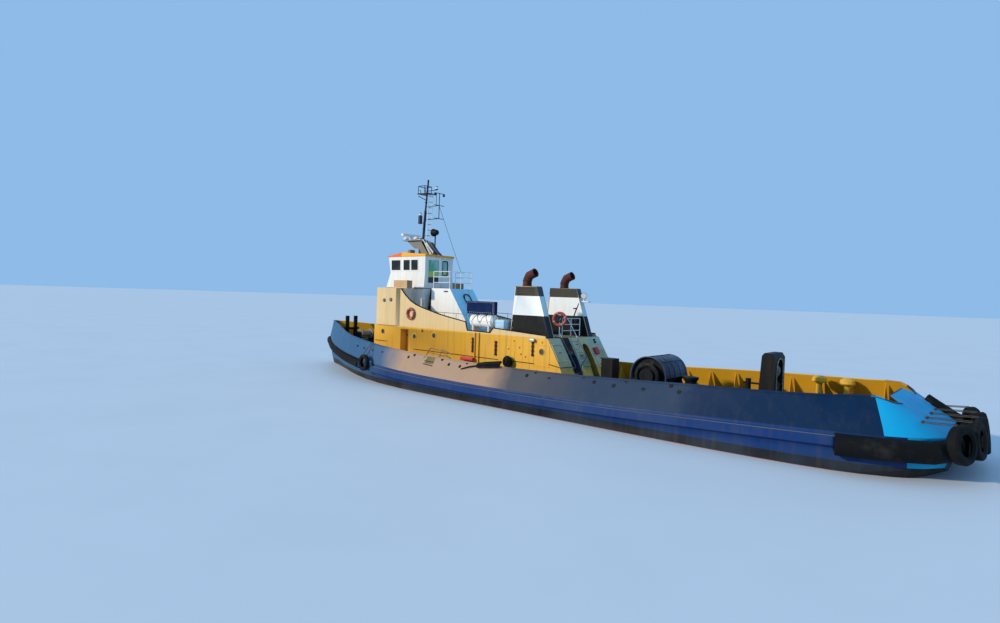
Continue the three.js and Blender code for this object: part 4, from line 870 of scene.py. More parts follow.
# the centre of each tyre over the stern, and the way that it faces
STERN_TYRES = [((x, y * side, 1.18), (out_x, out_y * side, 0.12)) for side, x, y, out_x, out_y in (
    (1, -18.37, 2.43, -0.93, 0.37), (1, -18.665, 1.25, -0.99, 0.16), (1, -18.76, 0, -1, 0),
    (-1, -18.665, 1.25, -0.99, 0.16), (-1, -18.37, 2.43, -0.93, 0.37))]
STERN_LINE = [(-15.3, 4.0), (-16.7, 3.56), (-17.7, 2.9), (-18.15, 1.9), (-18.35, 0)]
BUMPER_RADIUS, BUMPER_HEIGHT = 0.347, 0.9
SIDE_TYRE_X = 8.85
bumper, lashings = Kit(), Kit()
line = [*STERN_LINE, *[(x, -y) for x, y in STERN_LINE[-2::-1]]]
bumper.put(bar([(x, y, BUMPER_HEIGHT) for x, y in line], BUMPER_RADIUS, 28))
for centre, out in STERN_TYRES:
    bumper.put(tyre(0.6, 0.33), at(centre, out))
    for aside in (-0.16, 0.16):
        top = Vector(centre) + Vector((0.14, aside, 0.575))
        eye = Vector((-17.35, top.y * 0.95, 1.70))
        lashings.put(rod(top, eye, 0.014, sides=6))
        lashings.put(turned([(0, 0), (0.05, 0), (0.04, 0.03), (0, 0.05)], 10), at(eye, (-0.54, 0, 0.84)))
bumper.done("stern_bumper", rubber, replaces=("fender_stern",))
for name, side in SIDES:
    low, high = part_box(f"tyre_{name}")
    y = (high.y if side > 0 else low.y) - side * 0.155
    worn = Kit().put(tyre(0.47, 0.24), at((SIDE_TYRE_X, y, 1.13), (0.09, side, 0.05)))
    worn.done(f"side_tyre_{name}", rubber, replaces=(f"tyre_{name}",))
    for aside in (-0.2, 0.2):
        lashings.put(rod((SIDE_TYRE_X + aside, y - side * 0.02, 1.52),
                         (SIDE_TYRE_X + aside * 0.6, side * 3.77, 2.2), 0.016, sides=6))
lashings.done("tyre_lashings", cordage)
print("tyres", len(STERN_TYRES) + 2)

# %% [markdown]
# ## Wheelhouse windows
# Each pane is toughened glass in a rubber gasket, held by a clamped frame. The openings are already cut
# in the walls, so a pane is a thin plate set in the middle of its wall, and the gasket is the same plate
# with its centre taken out, standing a little proud outside.

# %% Wheelhouse windows
PANE_THICK = 0.012
GASKET = 0.035
SILL, HEAD = 6.60, 7.27
SIDE_PANES = [(9.70, 10.60), (8.80, 9.44), (8.06, 8.71)]
FRONT_PANES = [(-0.98, -0.37), (-0.30, 0.30), (0.37, 0.98)]
FRONT_LEAN = (0.99, 0, -0.2)
PANE_CORNER, PANE_DEPTH, GASKET_DEPTH = 0.05, 0.04, 0.012


def window(panes, gaskets, centre, out, width, height):
    place = at(centre, out)
    panes.put(plate(width + 0.01, height + 0.01, PANE_CORNER, PANE_THICK),
              place @ Matrix.Translation((0, 0, -PANE_DEPTH)))
    gaskets.put(plate(width + GASKET * 2, height + GASKET * 2, PANE_CORNER + GASKET, 0.02, GASKET * 1.6),
                place @ Matrix.Translation((0, 0, -GASKET_DEPTH)))


panes, gaskets = Kit(), Kit()
middle, tall = (SILL + HEAD) / 2, HEAD - SILL
for _, side in SIDES:
    for x0, x1 in SIDE_PANES:
        window(panes, gaskets, ((x0 + x1) / 2, side * 1.147, middle), (0, side, -0.03), x1 - x0, tall - 0.01)
for y0, y1 in FRONT_PANES:
    window(panes, gaskets, (10.775, (y0 + y1) / 2, middle), FRONT_LEAN, y1 - y0, tall * 1.02)
window(panes, gaskets, (7.425, 0.46, 6.56), (-1, 0, 0), 0.88, 1.42)
panes.done("wheelhouse_panes", glass)
gaskets.done("wheelhouse_gaskets", white)
door_pane, door_gasket = Kit(), Kit()
window(door_pane, door_gasket, (7.424, -0.495, 6.80), (-1, 0, 0), 0.41, 0.87)
door_pane.done("door_pane", glass, "wheelhouse_door")
door_gasket.done("door_gasket", black, "wheelhouse_door")
print("panes", len(SIDE_PANES) * 2 + len(FRONT_PANES) + 2)

# %% [markdown]
# ## Portholes and wall lamps
# The accommodation has small round ports: a cast ring bolted over thick glass. A ring and a shallow disc
# are turned once and set along each wall. Bulkhead lamps are a base, a glass and a guard.

# %% Portholes and lamps
WALL_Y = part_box("deckhouse")[1].y
PORTS = [(9.84, 2.84), (6.90, 2.72), (5.25, 2.88), (-2.34, 2.61)]
PORT_RADIUS = 0.145
WALL_LAMPS = [(6.27, 3.10), (-1.79, 3.12)]

rims, glasses, lamp_feet, lamp_lights = Kit(), Kit(), Kit(), Kit()
port_ring = [(PORT_RADIUS + r, z) for r, z in
             ((0, 0), (0.035, 0), (0.035, 0.01), (0.015, 0.02), (0, 0.02), (0, 0))]
for _, side in SIDES:
    for x, z in PORTS:
        place = at((x, side * WALL_Y, z), (0, side, 0))
        rims.put(turned(port_ring, 20), place)
        glasses.put(disc(PORT_RADIUS + 0.01, 0.012, 20, 0.016, 0.006), place)
        for bolt in round_about(place, 6, PORT_RADIUS + 0.018, 0.008):
            rims.put(disc(0.012, 0.012, 6, 0.014), bolt)
    for x, z in WALL_LAMPS:
        place = at((x, side * WALL_Y, z), (0, side, 0), X)
        lamp_feet.put(boss(0.09, 0.03, 0.06, 0.05, 14), place)
        lamp_lights.put(turned([(0, 0.05), (0.06, 0.05), (0.055, 0.10), (0.03, 0.125), (0, 0.13)], 14), place)
rims.done("port_rims", yellow)
glasses.done("port_glasses", dark_glass)
lamp_feet.done("lamp_feet", grey)
lamp_lights.done("lamp_lights", lens_amber)
print("ports", len(PORTS) * 2)

# %% [markdown]
# ## The rubber strip on the side screens
# A split rubber tube is pushed over the swept edge of each screen. It is a round bar drawn along the
# screen's own upper edge.

# %% Screen strips
STRIP_RADIUS = 0.042
for name, side in SIDES:
    edge = shared_edge(f"side_screen_{name}", lambda n, s=side: n.y * s > 0.9,
                       lambda n: n.z > 0.02 or n.x < -0.5)
    edge = [p - Y * side * 0.035 for p in edge if p.z > 3.26]
    Kit().put(bar(edge, STRIP_RADIUS, 8)).done(f"screen_strip_{name}", rubber)
print("strip points", len(edge))

# %% [markdown]
# ## Life rings
# A ring buoy is a hard shell with a grab line made fast at four bands. The shell is a full turn of a
# circle, the bands are short turns of a slightly larger one, and the line sags between them.

# %% Life rings
RING_RADIUS, RING_THICK = 0.29, 0.072
SAG = ((0.02, 0.066), (0.4, 0.05), (math.pi / 4, 0.02), (1.17, 0.05), (TURN / 4 - 0.02, 0.066))
AFT_RING_OUT = (-0.5, 0.866, 0)


def ring_buoy(name, node, out):
    low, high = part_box(node)
    place = at((low + high) / 2, out)
    Kit().put(ring(RING_RADIUS, RING_THICK, 40, 12), place).done(name, ring_shell, replaces=(node,))
    bands, line = Kit(), Kit()
    for i in range(4):
        turn = Matrix.Rotation(TURN * i / 4 + 0.4, 4, "Z")
        band = ring(RING_RADIUS, RING_THICK + 0.003, 4, 12, 0.2)
        bands.put(band, place @ turn @ Matrix.Rotation(-0.1, 4, "Z"))
        sag = [(math.cos(a) * (RING_RADIUS + r), math.sin(a) * (RING_RADIUS + r), 0) for a, r in SAG]
        line.put(bar(sag, 0.006, 5, 4), place @ turn)
    bands.done(name + "_bands", ring_band)
    line.done(name + "_line", pale_rope)
    return place


ring_buoy("ring_buoy_side", "life_ring_side", Y)
place = ring_buoy("ring_buoy_aft", "life_ring_aft", AFT_RING_OUT)
Kit().put(ring(0.1, 0.045, 20, 8), place).done("ring_light", dark_glass)
print("ring buoys done")

# %% [markdown]
# ## Funnels
# The funnels are casings over the exhausts: black where soot and ropes mark them, a white band above,
# and louvres in a bare grey-brown head. The bands are a coat by height, and the slots are already cut in
# the solids, so only the rim, the corner beads and the clamps of the exhaust pipes are added.

# %% Funnel fittings
PIPE_LEAN = (-0.37, 0, 0.15)
beads, collars, bores = Kit(), Kit(), Kit()
for name, side in SIDES:
    low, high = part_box(f"funnel_{name}")
    foot, top = low.z, high.z
    beads.put(rod((0.12, side * 1.25, foot), (-0.14, side * 1.25, top), 0.024, sides=6))
    beads.put(rod((-2.5, side * 1.52, foot), (-1.65, side * 1.52, top), 0.016, sides=6))
    rim = [(x, side * y, top - 0.012) for x, y in
           ((-0.14, 1.25), (-0.14, 1.73), (-0.31, 1.9), (-1.65, 1.9), (-1.65, 1.52), (-0.14, 1.25))]
    beads.put(bar(rim, 0.02, 6))
    for z in (3.62, 3.98):
        beads.put(rod((-0.20, side * 1.86, z), (-0.16, side * 1.90, z), 0.03, sides=6))
    pipe = Vector((-0.8, side * 1.61, top))
    for rise in (0.03, 0.28):
        collars.put(ring(0.228, 0.02, 24, 6), at(pipe + Z * rise))
    collars.put(ring(0.205, 0.026, 24, 8), at((-1.29, side * 1.61, 6.425), PIPE_LEAN))
    bores.put(disc(0.188, 0.01, 20), at((-1.17, side * 1.61, 6.377), PIPE_LEAN))
beads.done("funnel_beads", cream)
collars.done("exhaust_collars", soot)
bores.done("exhaust_bores", black)
print("funnel top", round(top, 3))

# %% [markdown]
# ## Canvas cover
# The box over the port raft is a tube frame with a canvas cover laced on. A simulated cloth would end almost
# flat on so small a frame, so the cover is a box shell whose faces are subdivided, sunk a little between the
# frame's corners and rippled along its hem by given waves.

# %% Canvas cover
HEM = 4.245
COVER_SAG, COVER_PULL, COVER_SLACK, HEM_RIPPLE = 0.05, 0.03, 0.018, 0.02
EYELET_GAP = 0.152


def canvas_cover():
    low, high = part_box("canvas_box")
    foot = HEM
    bm = box((low.x, low.y, foot), (high.x, high.y, high.z))
    floor_face = min(bm.faces, key=lambda f: f.calc_center_median().z)
    bmesh.ops.delete(bm, geom=[floor_face], context="FACES_ONLY")
    bmesh.ops.subdivide_edges(bm, edges=bm.edges[:], cuts=15, use_grid_fill=True)
    centre = (low + high) / 2
    half = (high - low) / 2
    for v in bm.verts:
        u, w = (v.co.x - centre.x) / half.x, (v.co.y - centre.y) / half.y
        t = (v.co.z - foot) / (high.z - foot)
        if t > 0.999:
            v.co.z -= COVER_SAG * (1 - u * u) * (1 - w * w)
        else:
            slack = COVER_SLACK * (1 + math.sin(u * 9 + w * 5)) * (1 - t)
            pull = COVER_PULL * math.sin(math.pi * t)
            if abs(w) > 0.999:
                v.co.y -= w * (pull * (1 - u * u) + slack)
            if abs(u) > 0.999:
                v.co.x -= u * (pull * (1 - w * w) + slack)
            v.co.z += HEM_RIPPLE * (1 - t) * math.cos(u * 11)
    area = sum(f.calc_area() for f in bm.faces)
    cover = Kit().put(bm).done("canvas_cover", canvas, angle=50, replaces=("canvas_box",))
    thick = cover.modifiers.new("cloth", "SOLIDIFY")
    thick.thickness, thick.offset = 0.003, -1
    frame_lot, eyelets = Kit(), Kit()
    for x in (0.885, 2.825):
        for y in (1.942, 2.165):
            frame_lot.put(rod((x, y, low.z), (x, y, high.z - 0.06), 0.014, sides=8))
    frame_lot.done("canvas_frame", grey)
    spots = [(low.x + 0.08 + i * EYELET_GAP, z) for i in range(13) for z in (foot + 0.07, high.z - 0.05)]
    spots += [(low.x + 0.10, foot + 0.07 + i * 0.11) for i in range(1, 5)]
    for x, z in spots:
        eyelets.put(ring(0.014, 0.006, 10, 5), at((x, high.y - 0.004, z), (0, 1, 0)))
    eyelets.done("canvas_eyelets", lens_white)
    print("cover area", round(area, 2), "m2")


canvas_cover()

# %% [markdown]
# ## Rafts
# An inflatable raft is packed in a two-part shell: a drum with a flange all round where the halves meet, and
# straps that run to the cradle. The flange is a flat ring in the long plane and the straps are rings of a bar
# round the drum, with dark lashings crossed over the port one.

# %% Raft straps
straps = Kit()
for name, side in SIDES:
    low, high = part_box(f"liferaft_{name}")
    y, z, radius = (low.y + high.y) / 2, (low.z + high.z) / 2, (high.z - low.z) / 2
    for x in (1.25, 1.8, 2.35):
        straps.put(ring(radius + 0.004, 0.012, 32, 6), at((x, y, z), (1, 0, 0)))
    straps.put(box((low.x + 0.12, y - radius - 0.03, z - 0.02), (high.x - 0.12, y + radius + 0.03, z + 0.02)))
straps.done("raft_straps", white)
lashing = Kit()
low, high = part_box("liferaft_port")
y, z, radius = (low.y + high.y) / 2, (low.z + high.z) / 2, (high.z - low.z) / 2 + 0.015
for x in (1.5, 2.1):
    for lean in (-0.22, 0.22):
        line = [(x + lean * (1 - math.cos(a)), y + math.sin(a) * radius, z + math.cos(a) * radius)
                for a in (i * 0.2 for i in range(10))]
        lashing.put(bar(line, 0.014, 6))
lashing.done("raft_lashing", cordage)
print("raft radius", round(radius, 3))

# %% [markdown]
# ## Mast head
# The mast carries navigation lamps in their cages, small receivers on the aerial frame, a whip, and white
# domes on the radar platform. All are small turned shapes set on the solids' own bars.

# %% Mast fittings
AERIAL_X = 7.6
LAMPS = [(8.95, 0, 11.45), (7.87, 0, 11.62), (9.31, 0, 10.10), (9.2, 0.2, 11.45), (9.2, -0.2, 11.45)]
LAMP_RADIUS, LAMP_FOOT, LAMP_HEAD, LAMP_TOP = 0.09, 0.04, 0.16, 0.2
lamp_cap = [(0, LAMP_HEAD), (LAMP_RADIUS, LAMP_HEAD), (LAMP_RADIUS * 0.6, LAMP_TOP), (0, LAMP_TOP)]

iron, glow, white_iron = Kit(), Kit(), Kit()
for spot in LAMPS:
    iron.put(disc(LAMP_RADIUS, LAMP_FOOT, 12), at(spot))
    iron.put(turned(lamp_cap, 12), at(spot))
    glow.put(disc(LAMP_RADIUS * 0.85, LAMP_HEAD, 12, foot=LAMP_FOOT), at(spot))
for y in (-0.36, 0.36):
    iron.put(box((AERIAL_X - 0.05, y - 0.05, 11.2), (AERIAL_X + 0.05, y + 0.05, 11.36), 0.015))
for z in (9.25, 10.9):
    iron.put(ring(0.075, 0.018, 16, 6), at((8.955 - (z - 9.25) * 0.09, 0, z)))
white_iron.put(rod((8.65, 0.1, 11.9), (8.65, 0.1, 12.26), 0.008, 0.004, sides=6))
shelf_plate, foot_plate = Kit(), Kit()
BRACKET = ((10.2, 8.45), (8.75, 8.48), (8.16, 7.62), (8.9, 7.62), (9.1, 8.0), (9.6, 8.05))
for y in (0.15, -0.17):
    shelf_plate.put(web([(x, y, z) for x, z in BRACKET], Y * 0.02))
shelf_plate.put(box((9.95, -0.2, 7.66), (10.2, 0.2, 7.98), 0.02))
shelf_plate.put(box((9.2, -0.1, 7.66), (9.32, 0.1, 8.0), 0.02))
FOOT_PLATE = ((8.66, 8.40), (8.16, 8.40), (7.42, 7.62), (8.06, 7.62))
foot_plate.put(web([(x, -0.1, z) for x, z in FOOT_PLATE], Y * 0.2))
shelf_plate.done("radar_bracket", grey)
foot_plate.done("mast_foot", navy_trim)
dome = [(0, 0), (0.12, 0), (0.16, 0.04), (0.16, 0.10), (0.12, 0.17), (0.05, 0.2), (0, 0.205)]
for x, y in ((10.42, 0.17), (9.43, -0.16), (9.43, 0.16)):
    white_iron.put(turned(dome, 20), at((x, y, 8.6)))
iron.done("mast_fittings", black)
glow.done("mast_lamps", lens_white)
white_iron.done("mast_whips", white)
face = Kit()
front = at((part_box("searchlight")[1].x, 0, 8.99), X)
face.put(disc(0.2, 0.012, 20, 0.03), front)
face.put(ring(0.215, 0.018, 24, 6), front @ Matrix.Translation((0, 0, -0.01)))
face.done("searchlight_glass", lens_white, "searchlight")

# %% [markdown]
# ## Winch rope and gear on the after deck
# The towing winch holds several layers of wire: rings laid side by side read as turns of wire from any
# distance. A toothless brake ring is bolted outside each cheek.

# %% Winch and deck gear
WIRE_TURNS, WIRE_FROM, WIRE_PITCH = 24, -0.82, 0.0713
HOOD_RADIUS = 0.80
turns = Kit()
for i in range(WIRE_TURNS):
    place = at(WINCH + Y * (WIRE_FROM + i * WIRE_PITCH), Y)
    turns.put(ring(0.47 + 0.035 * (i % 2), 0.036, 28, 6), place)
turns.done("winch_wire", wire, "winch_drum")
gear = Kit()
brake_ring = [(0.44, 0), (0.56, 0), (0.58, 0.03), (0.58, 0.09), (0.53, 0.11), (0.44, 0.11), (0.44, 0)]
hub_ring = [(0.16, 0.10), (0.3, 0.10), (0.3, 0.13), (0.16, 0.13), (0.16, 0.10)]
for _, side in SIDES:
    hub = at(WINCH + Y * side * 1.11, (0, side, 0))
    gear.put(turned(brake_ring, 32), hub)
    gear.put(turned(hub_ring, 20), hub)
    for bolt in round_about(hub, 10, 0.51, 0.10):
        gear.put(disc(0.028, 0.03, 6, 0.034), bolt)
gear.done("winch_gear", winch_paint)
hood, bands = Kit(), Kit()
arc = [(HOOD_RADIUS * math.cos(a), HOOD_RADIUS * math.sin(a)) for a in degrees(-14, 195, 11)]
for (x0, z0), (x1, z1) in zip(arc, arc[1:]):
    corners = [(WINCH.x + x, y, WINCH.z + z)
               for x, z, y in ((x0, z0, -1), (x0, z0, 1), (x1, z1, 1), (x1, z1, -1))]
    hood.put(web(corners, Vector((x0 + x1, 0, z0 + z1)).normalized() * 0.02))
# The hood lies wholly beyond the reach where the winch coat paints its blue-grey highlight.
hood.done("winch_hood", winch_paint, angle=40)
# The bands over the hood carry a painted blue-grey highlight.
for y in (-0.98, -0.45, 0.1, 0.55, 0.98):
    bands.put(bar([(WINCH.x + x * 1.03, y, WINCH.z + z * 1.03) for x, z in arc], 0.028, 6))
bands.done("winch_bands", winch_highlight)
print("wire turns", WIRE_TURNS)

# %% [markdown]
# ## Deckhouse fittings
# Along the house side run pipes, hinged hatches and grab rails. They are simple plates and bars, each set
# from the wall. The sloping after face has its panels, louvre, hose box and the light over the stair.

# %% House fittings
KNUCKLE = 2.12
BOSSES = [(-2.34, 3.07), (-0.6, 3.02), (-0.95, 2.72), (-0.25, 2.6), (-1.05, 2.4), (-1.35, 2.3), (5.59, 3.11)]
PANELS = [(0.14, 2.92, 0.5, 0.46), (0.14, 2.38, 0.6, 0.5), (-1.55, 2.2, 0.9, 1.0), (1.8, 2.6, 0.8, 0.9)]


def hinged_strip(kit, wall, side, x, z0, z1):
    kit.put(rod((x, wall + side * 0.03, z0), (x, wall + side * 0.03, z1), 0.05, sides=8))
    for z in (z0 + 0.06, z0 + (z1 - z0) * 0.36, z0 + (z1 - z0) * 0.66, z1 - 0.06):
        kit.put(box((x - 0.08, wall, z - 0.03), (x + 0.08, wall + side * 0.055, z + 0.03), 0.01))


def on_slope(y, z):
    """A place on the after face of the house, which leans at two angles."""
    if z > KNUCKLE:
        return at((-3.35 + (z - KNUCKLE) * 0.576, y, z), (-0.867, 0, 0.499))
    return at((-4.0 + (z - 0.7) * 0.458, y, z), (-0.909, 0, 0.416))


trim, dark, red, pale, hinges = Kit(), Kit(), Kit(), Kit(), Kit()
for _, side in SIDES:
    wall = side * WALL_Y
    for x in (2.05, 1.77):
        trim.put(rod((x, wall + side * 0.05, 1.0), (x, wall + side * 0.05, 3.26), 0.03, sides=8))
    for x0, x1, z in ((9.4, 10.55, 2.27), (0.4, 6.9, 1.99), (-1.9, -0.42, 2.01)):
        dark.put(rod((x0, wall + side * 0.05, z), (x1, wall + side * 0.05, z), 0.013, sides=8))
        for i in range(4):
            x = x0 + (x1 - x0) * (i + 0.5) / 4
            dark.put(rod((x, wall, z), (x, wall + side * 0.05, z), 0.012, sides=6))
    for x, z0, z1 in ((0.58, 2.18, 2.92), (2.21, 2.2, 2.98), (-1.80, 2.35, 3.08)):
        hinged_strip(hinges, wall, side, x, z0, z1)
    trim.put(plate(0.95, 1.05, 0.06, 0.012, 0.022), at((-2.33, wall, 2.42), (0, side, 0)))
    trim.put(plate(1.4, 1.0, 0.05, 0.01, 0.02), at((0.02, wall, 2.55), (0, side, 0)))
    for x, z in BOSSES:
        trim.put(boss(0.05, 0.03, 0.03, 0.05, 12), at((x, wall, z), (0, side, 0)))
    pale.put(box((-1.96, wall, 3.06), (-1.66, wall + side * 0.16, 3.2), 0.02))
    dark.put(bar([(x, wall + side * off, z) for x, off, z in
                  ((-2.80, 0.03, 2.06), (-3.2, 0.03, 2.0), (-3.42, 0.01, 1.96))], 0.016, 6, 3))
    dark.put(rod((-3.44, side * 2.24, 1.95), (-3.44, side * 1.27, 1.93), 0.016, sides=6))
trim.done("house_trim", yellow)
hinges.done("house_hinges", soot)
red.put(box((2.02, WALL_Y, 1.76), (2.92, WALL_Y + 0.22, 1.93), 0.02))
red.put(plate(0.34, 0.36, 0.04, 0.12), on_slope(-1.3, 2.55))
red.done("hose_boxes", hose_red)
pale.put(box((-2.98, 0.56, 2.42), (-2.66, 0.68, 2.6), 0.02))
pale.done("flood_lamps", chrome)
hung = Kit()
for lift, lean, radius in ((0, 0.1, 0.30), (0.03, 0.5, 0.27), (-0.03, -0.4, 0.27)):
    hung.put(ring(radius - 0.09, 0.085, 20, 8), at((-0.36 + lift, WALL_Y + 0.2, 1.97 + lift), (lean, 1, 0.1)))
knob = [(0, -0.06), (0.16, -0.05), (0.18, 0), (0.14, 0.07), (0, 0.09)]
hung.put(turned(knob, 12), at((-0.36, WALL_Y + 0.22, 1.96), Y))
hung.done("hung_fender", rubber)


def slope_rod(kit, start, end, radius, lift):
    """A bar between two points of the after face, standing off it."""
    kit.put(rod(*[on_slope(y, z) @ Vector((0, 0, lift)) for y, z in (start, end)], radius, sides=6))


after = Kit()
for y, z, wide, tall in PANELS:
    after.put(plate(wide, tall, 0.04, 0.022, 0.035), on_slope(y, z))
    slope_rod(dark, (y - 0.1, z), (y + 0.1, z), 0.014, 0.04)
for z in (2.98, 3.09):
    dark.put(boss(0.055, 0.05, 0.03, 0.08, 12), on_slope(-1.6, z))
after.done("after_face_panels", pale_green)
dark.done("house_bars", black)
louvre = Kit().put(plate(0.56, 0.62, 0.02, 0.03, 0.04), on_slope(-0.02, 2.18))
for i in range(7):
    blade = on_slope(-0.02, 1.93 + i * 0.082) @ Matrix.Rotation(0.6, 4, "X")
    louvre.put(plate(0.5, 0.075, 0.0, 0.012), blade)
louvre.done("after_louvre", rail_green)
bars = Kit()
for head, foot in ((3.22, 2.14), (2.10, 1.6)):
    slope_rod(bars, (0.47, head), (0.47, foot), 0.028, 0.03)
bars.done("stair_edge", pale_green)
lights = Kit()
for _, side in SIDES:
    for x, z in ((9.656, 4.74), (9.03, 4.79)):
        shade = [(0, 0), (0.11, 0), (0.11, 0.05), (0.08, 0.09), (0, 0.1)]
        lights.put(turned(shade, 16), at((x, side * 2.35, z), (0, side, 0)))
lights.done("bridge_lights", grey)
print("house fittings set")

# %% [markdown]
# ## Boat deck fittings
# A pipe rail runs behind each sweeping screen, a locker stands between the port raft and its funnel, and
# the starboard funnel carries an arm with a floodlight and the pipe that feeds it.

# %% Boat deck fittings
rails, locker = Kit(), Kit()
for _, side in SIDES:
    y = side * 2.16
    rails.put(bar([(5.25, y, 4.20), (4.0, y, 4.19), (2.9, y, 4.17)], 0.016, 6, 3))
    for x in (4.57, 3.63):
        rails.put(rod((x, y, 3.31), (x, y, 4.19), 0.014, sides=6))
    locker.put(box((0.24, side * 1.5, 3.31), (0.84, side * 2.1, 4.0), 0.03))
    locker.put(box((0.22, side * 1.48, 3.84), (0.86, side * 2.12, 3.88), 0.008))
rails.done("sweep_rails", grey)
# The lockers' pale blue is painted shade over white.
locker.done("deck_lockers", locker_white_shaded)
arm, flood, feed = Kit(), Kit(), Kit()
arm.put(box((-2.36, -1.84, 5.04), (-1.84, -1.62, 5.10), 0.01))
arm.put(box((-2.06, -1.80, 5.10), (-2.0, -1.66, 5.22)))
place = at((-1.98, -1.73, 5.36), (-0.55, 0.8, 0.05))
flood.put(turned([(0, 0), (0.12, 0), (0.17, 0.14), (0.17, 0.2), (0, 0.2)], 18), place)
arm.put(disc(0.15, 0.215, 18, 0.22, 0.2), place)
line = [(-1.84, -1.60, 5.04), (-1.82, -1.50, 4.92), (-1.60, -1.40, 4.2), (-1.62, -1.39, 3.4)]
feed.put(bar(line, 0.02, 6, 4))
for z in (4.7, 4.2, 3.7):
    feed.put(box((-1.72, -1.50, z - 0.02), (-1.56, -1.38, z + 0.02)))
arm.done("flood_arm", white)
flood.done("flood_body", black)
feed.done("flood_pipe", black)
vents = Kit()
for _, side in SIDES:
    vents.put(plate(0.34, 0.07, 0.03, 0.02), at((5.76, side * 0.95, 5.38), (0, side, 0)))
vents.done("casing_vents", soot)
print("boat deck fittings set")

# %% [markdown]
# ## The casing's ladder
# A steep ladder stands in the gap between the wheelhouse trunk and the casing. The casing's after door has an
# oval coaming round it, made with the door gear below.

# %% Casing gear
ladder = Kit()
RUNGS = 9
foot, head = Vector((7.36, 0, 3.30)), Vector((7.06, 0, 5.50))
for y in (0.90, 0.52):
    ladder.put(web([end + X * half + Y * y for end, half in
                    ((foot, 0.08), (foot, -0.08), (head, -0.08), (head, 0.08))], Y * 0.025))
for i in range(RUNGS):
    spot = foot.lerp(head, (i + 0.5) / RUNGS)
    ladder.put(box((spot.x - 0.08, 0.52, spot.z - 0.01), (spot.x + 0.08, 0.92, spot.z + 0.01)))
ladder.done("casing_ladder", black)

# %% [markdown]
# ## Holes along the bulwark
# Ropes and tyres are made fast through round holes in the bulwark plate, which rust from their edges. Each is
# a dark disc in a welded ring, set square on the leaning plate. A rail of old rubber, made with the boarding
# hoops below, hangs by them.

# %% Bulwark holes
HOLES = [
    (10.32, 3.71, 1.97), (9.54, 3.80, 1.92), (8.70, 3.84, 1.87), (7.76, 3.85, 1.84), (5.49, 3.85, 1.73),
    (5.10, 3.76, 1.87), (2.96, 3.71, 1.83), (2.37, 3.81, 1.63), (1.59, 3.80, 1.61), (1.21, 3.67, 1.81),
    (-2.69, 3.76, 1.63), (-3.11, 3.64, 1.83), (-3.95, 3.77, 1.62), (-5.67, 3.64, 1.87), (-6.25, 3.73, 1.75),
    (-7.20, 3.77, 1.72), (-7.72, 3.65, 1.93), (-8.54, 3.79, 1.74), (-8.74, 3.79, 1.73), (-9.62, 3.66, 2.00),
    (-10.0, 3.77, 1.83),
]
HOLE_RADIUS = 0.075
holes, welds = Kit(), Kit()


def on_bulwark(x, y, z, side):
    """A place square on the leaning bulwark."""
    return at((x, side * y, z), (0, side * 0.88, 0.47))


for spot in HOLES:
    for _, side in SIDES:
        # The holes are not cut: a black disc in each is painted shade for the dark seen through it.
        holes.put(disc(HOLE_RADIUS, 0.006, 16, foot=-0.02), on_bulwark(*spot, side))
        welds.put(ring(HOLE_RADIUS, 0.012, 18, 6), on_bulwark(*spot, side))
holes.done("bulwark_holes", black)
welds.done("bulwark_hole_rims", black)
print("holes", len(HOLES) * 2)

# %% Boarding hoops and the rubber on the rail
HOOPS = [
    # radius, sides, steps of smoothing, points on the port side
    (0.024, 7, 4, [(4.42, 3.82, 1.62), (4.22, 3.68, 1.98), (4.02, 3.62, 2.30), (3.90, 3.62, 2.31)]),
    (0.022, 7, 0, [(3.96, 3.62, 2.32), (2.75, 3.62, 2.24), (2.36, 3.64, 2.14)]),
    (0.022, 7, 4, [(3.28, 3.66, 1.86), (3.16, 3.62, 2.16), (3.04, 3.62, 2.28), (2.90, 3.62, 2.26)]),
    (0.03, 7, 0, [(3.32, 3.63, 1.98), (2.72, 3.63, 2.03), (2.40, 3.66, 1.93)]),
    (0.016, 6, 0, [(4.16, 3.66, 2.09), (3.25, 3.64, 2.04)]),
]
GATE_BARS = [(0.02, 6, 0, [(4.20, 3.93, 1.50), (3.48, 3.94, 1.46)]),
             (0.016, 6, 0, [(4.18, 3.85, 1.66), (3.50, 3.85, 1.64)])]
ROLL = [(1.43, 3.87, 1.50), (0.9, 3.83, 1.67), (0.38, 3.79, 1.77), (-0.07, 3.77, 1.84), (-0.53, 3.75, 1.88),
        (-1.0, 3.70, 1.95)]
hoops, gate, strip, lump = Kit(), Kit(), Kit(), Kit()
for _, side in SIDES:
    for kit, rows in ((hoops, HOOPS), (strip, GATE_BARS)):
        for radius, sides, smooth, points in rows:
            kit.put(bar([(x, side * y, z) for x, y, z in points], radius, sides, smooth))
    # The gate plate is dirty yellow darkened with painted shade.
    gate.put(plate(0.68, 0.42, 0.02, 0.02), on_bulwark(3.84, 3.775, 1.71, side))
hoops.done("boarding_hoops", steel)
gate.done("bulwark_gates", gate_dirt_and_shade)
strip.done("gate_bars", black)
random.seed(4)
lump.put(bar(ROLL, 0.035, 8, 4))
for aside, rise, thick in ((0.03, 0.06, 0.06), (-0.07, 0.1, 0.065), (0.05, -0.06, 0.055)):
    points = [(x, y + aside, z + rise + random.uniform(-0.02, 0.02)) for x, y, z in ROLL[2:]]
    lump.put(bar(points, thick, 8, 4))
lump.done("cap_rubber", rubber)
print("hoops", len(HOOPS) * 2)

# %% [markdown]
# ## Doors and their handles
# Weathertight doors close on a rubber with levers that press on wedges. Each lever is a pivot and a bar
# with a knob, and rides on its own door. On the side doors the levers lie nearly flat. On the after and
# casing doors they stand nearly upright within the door's edge, so that they clear the wall as it swings.

# %% Door gear
# the turns of a door's levers, fore edge and after edge, where they stand or lie
STANDING, LYING = (1.9, 1.24), (0.5, math.pi - 0.5)


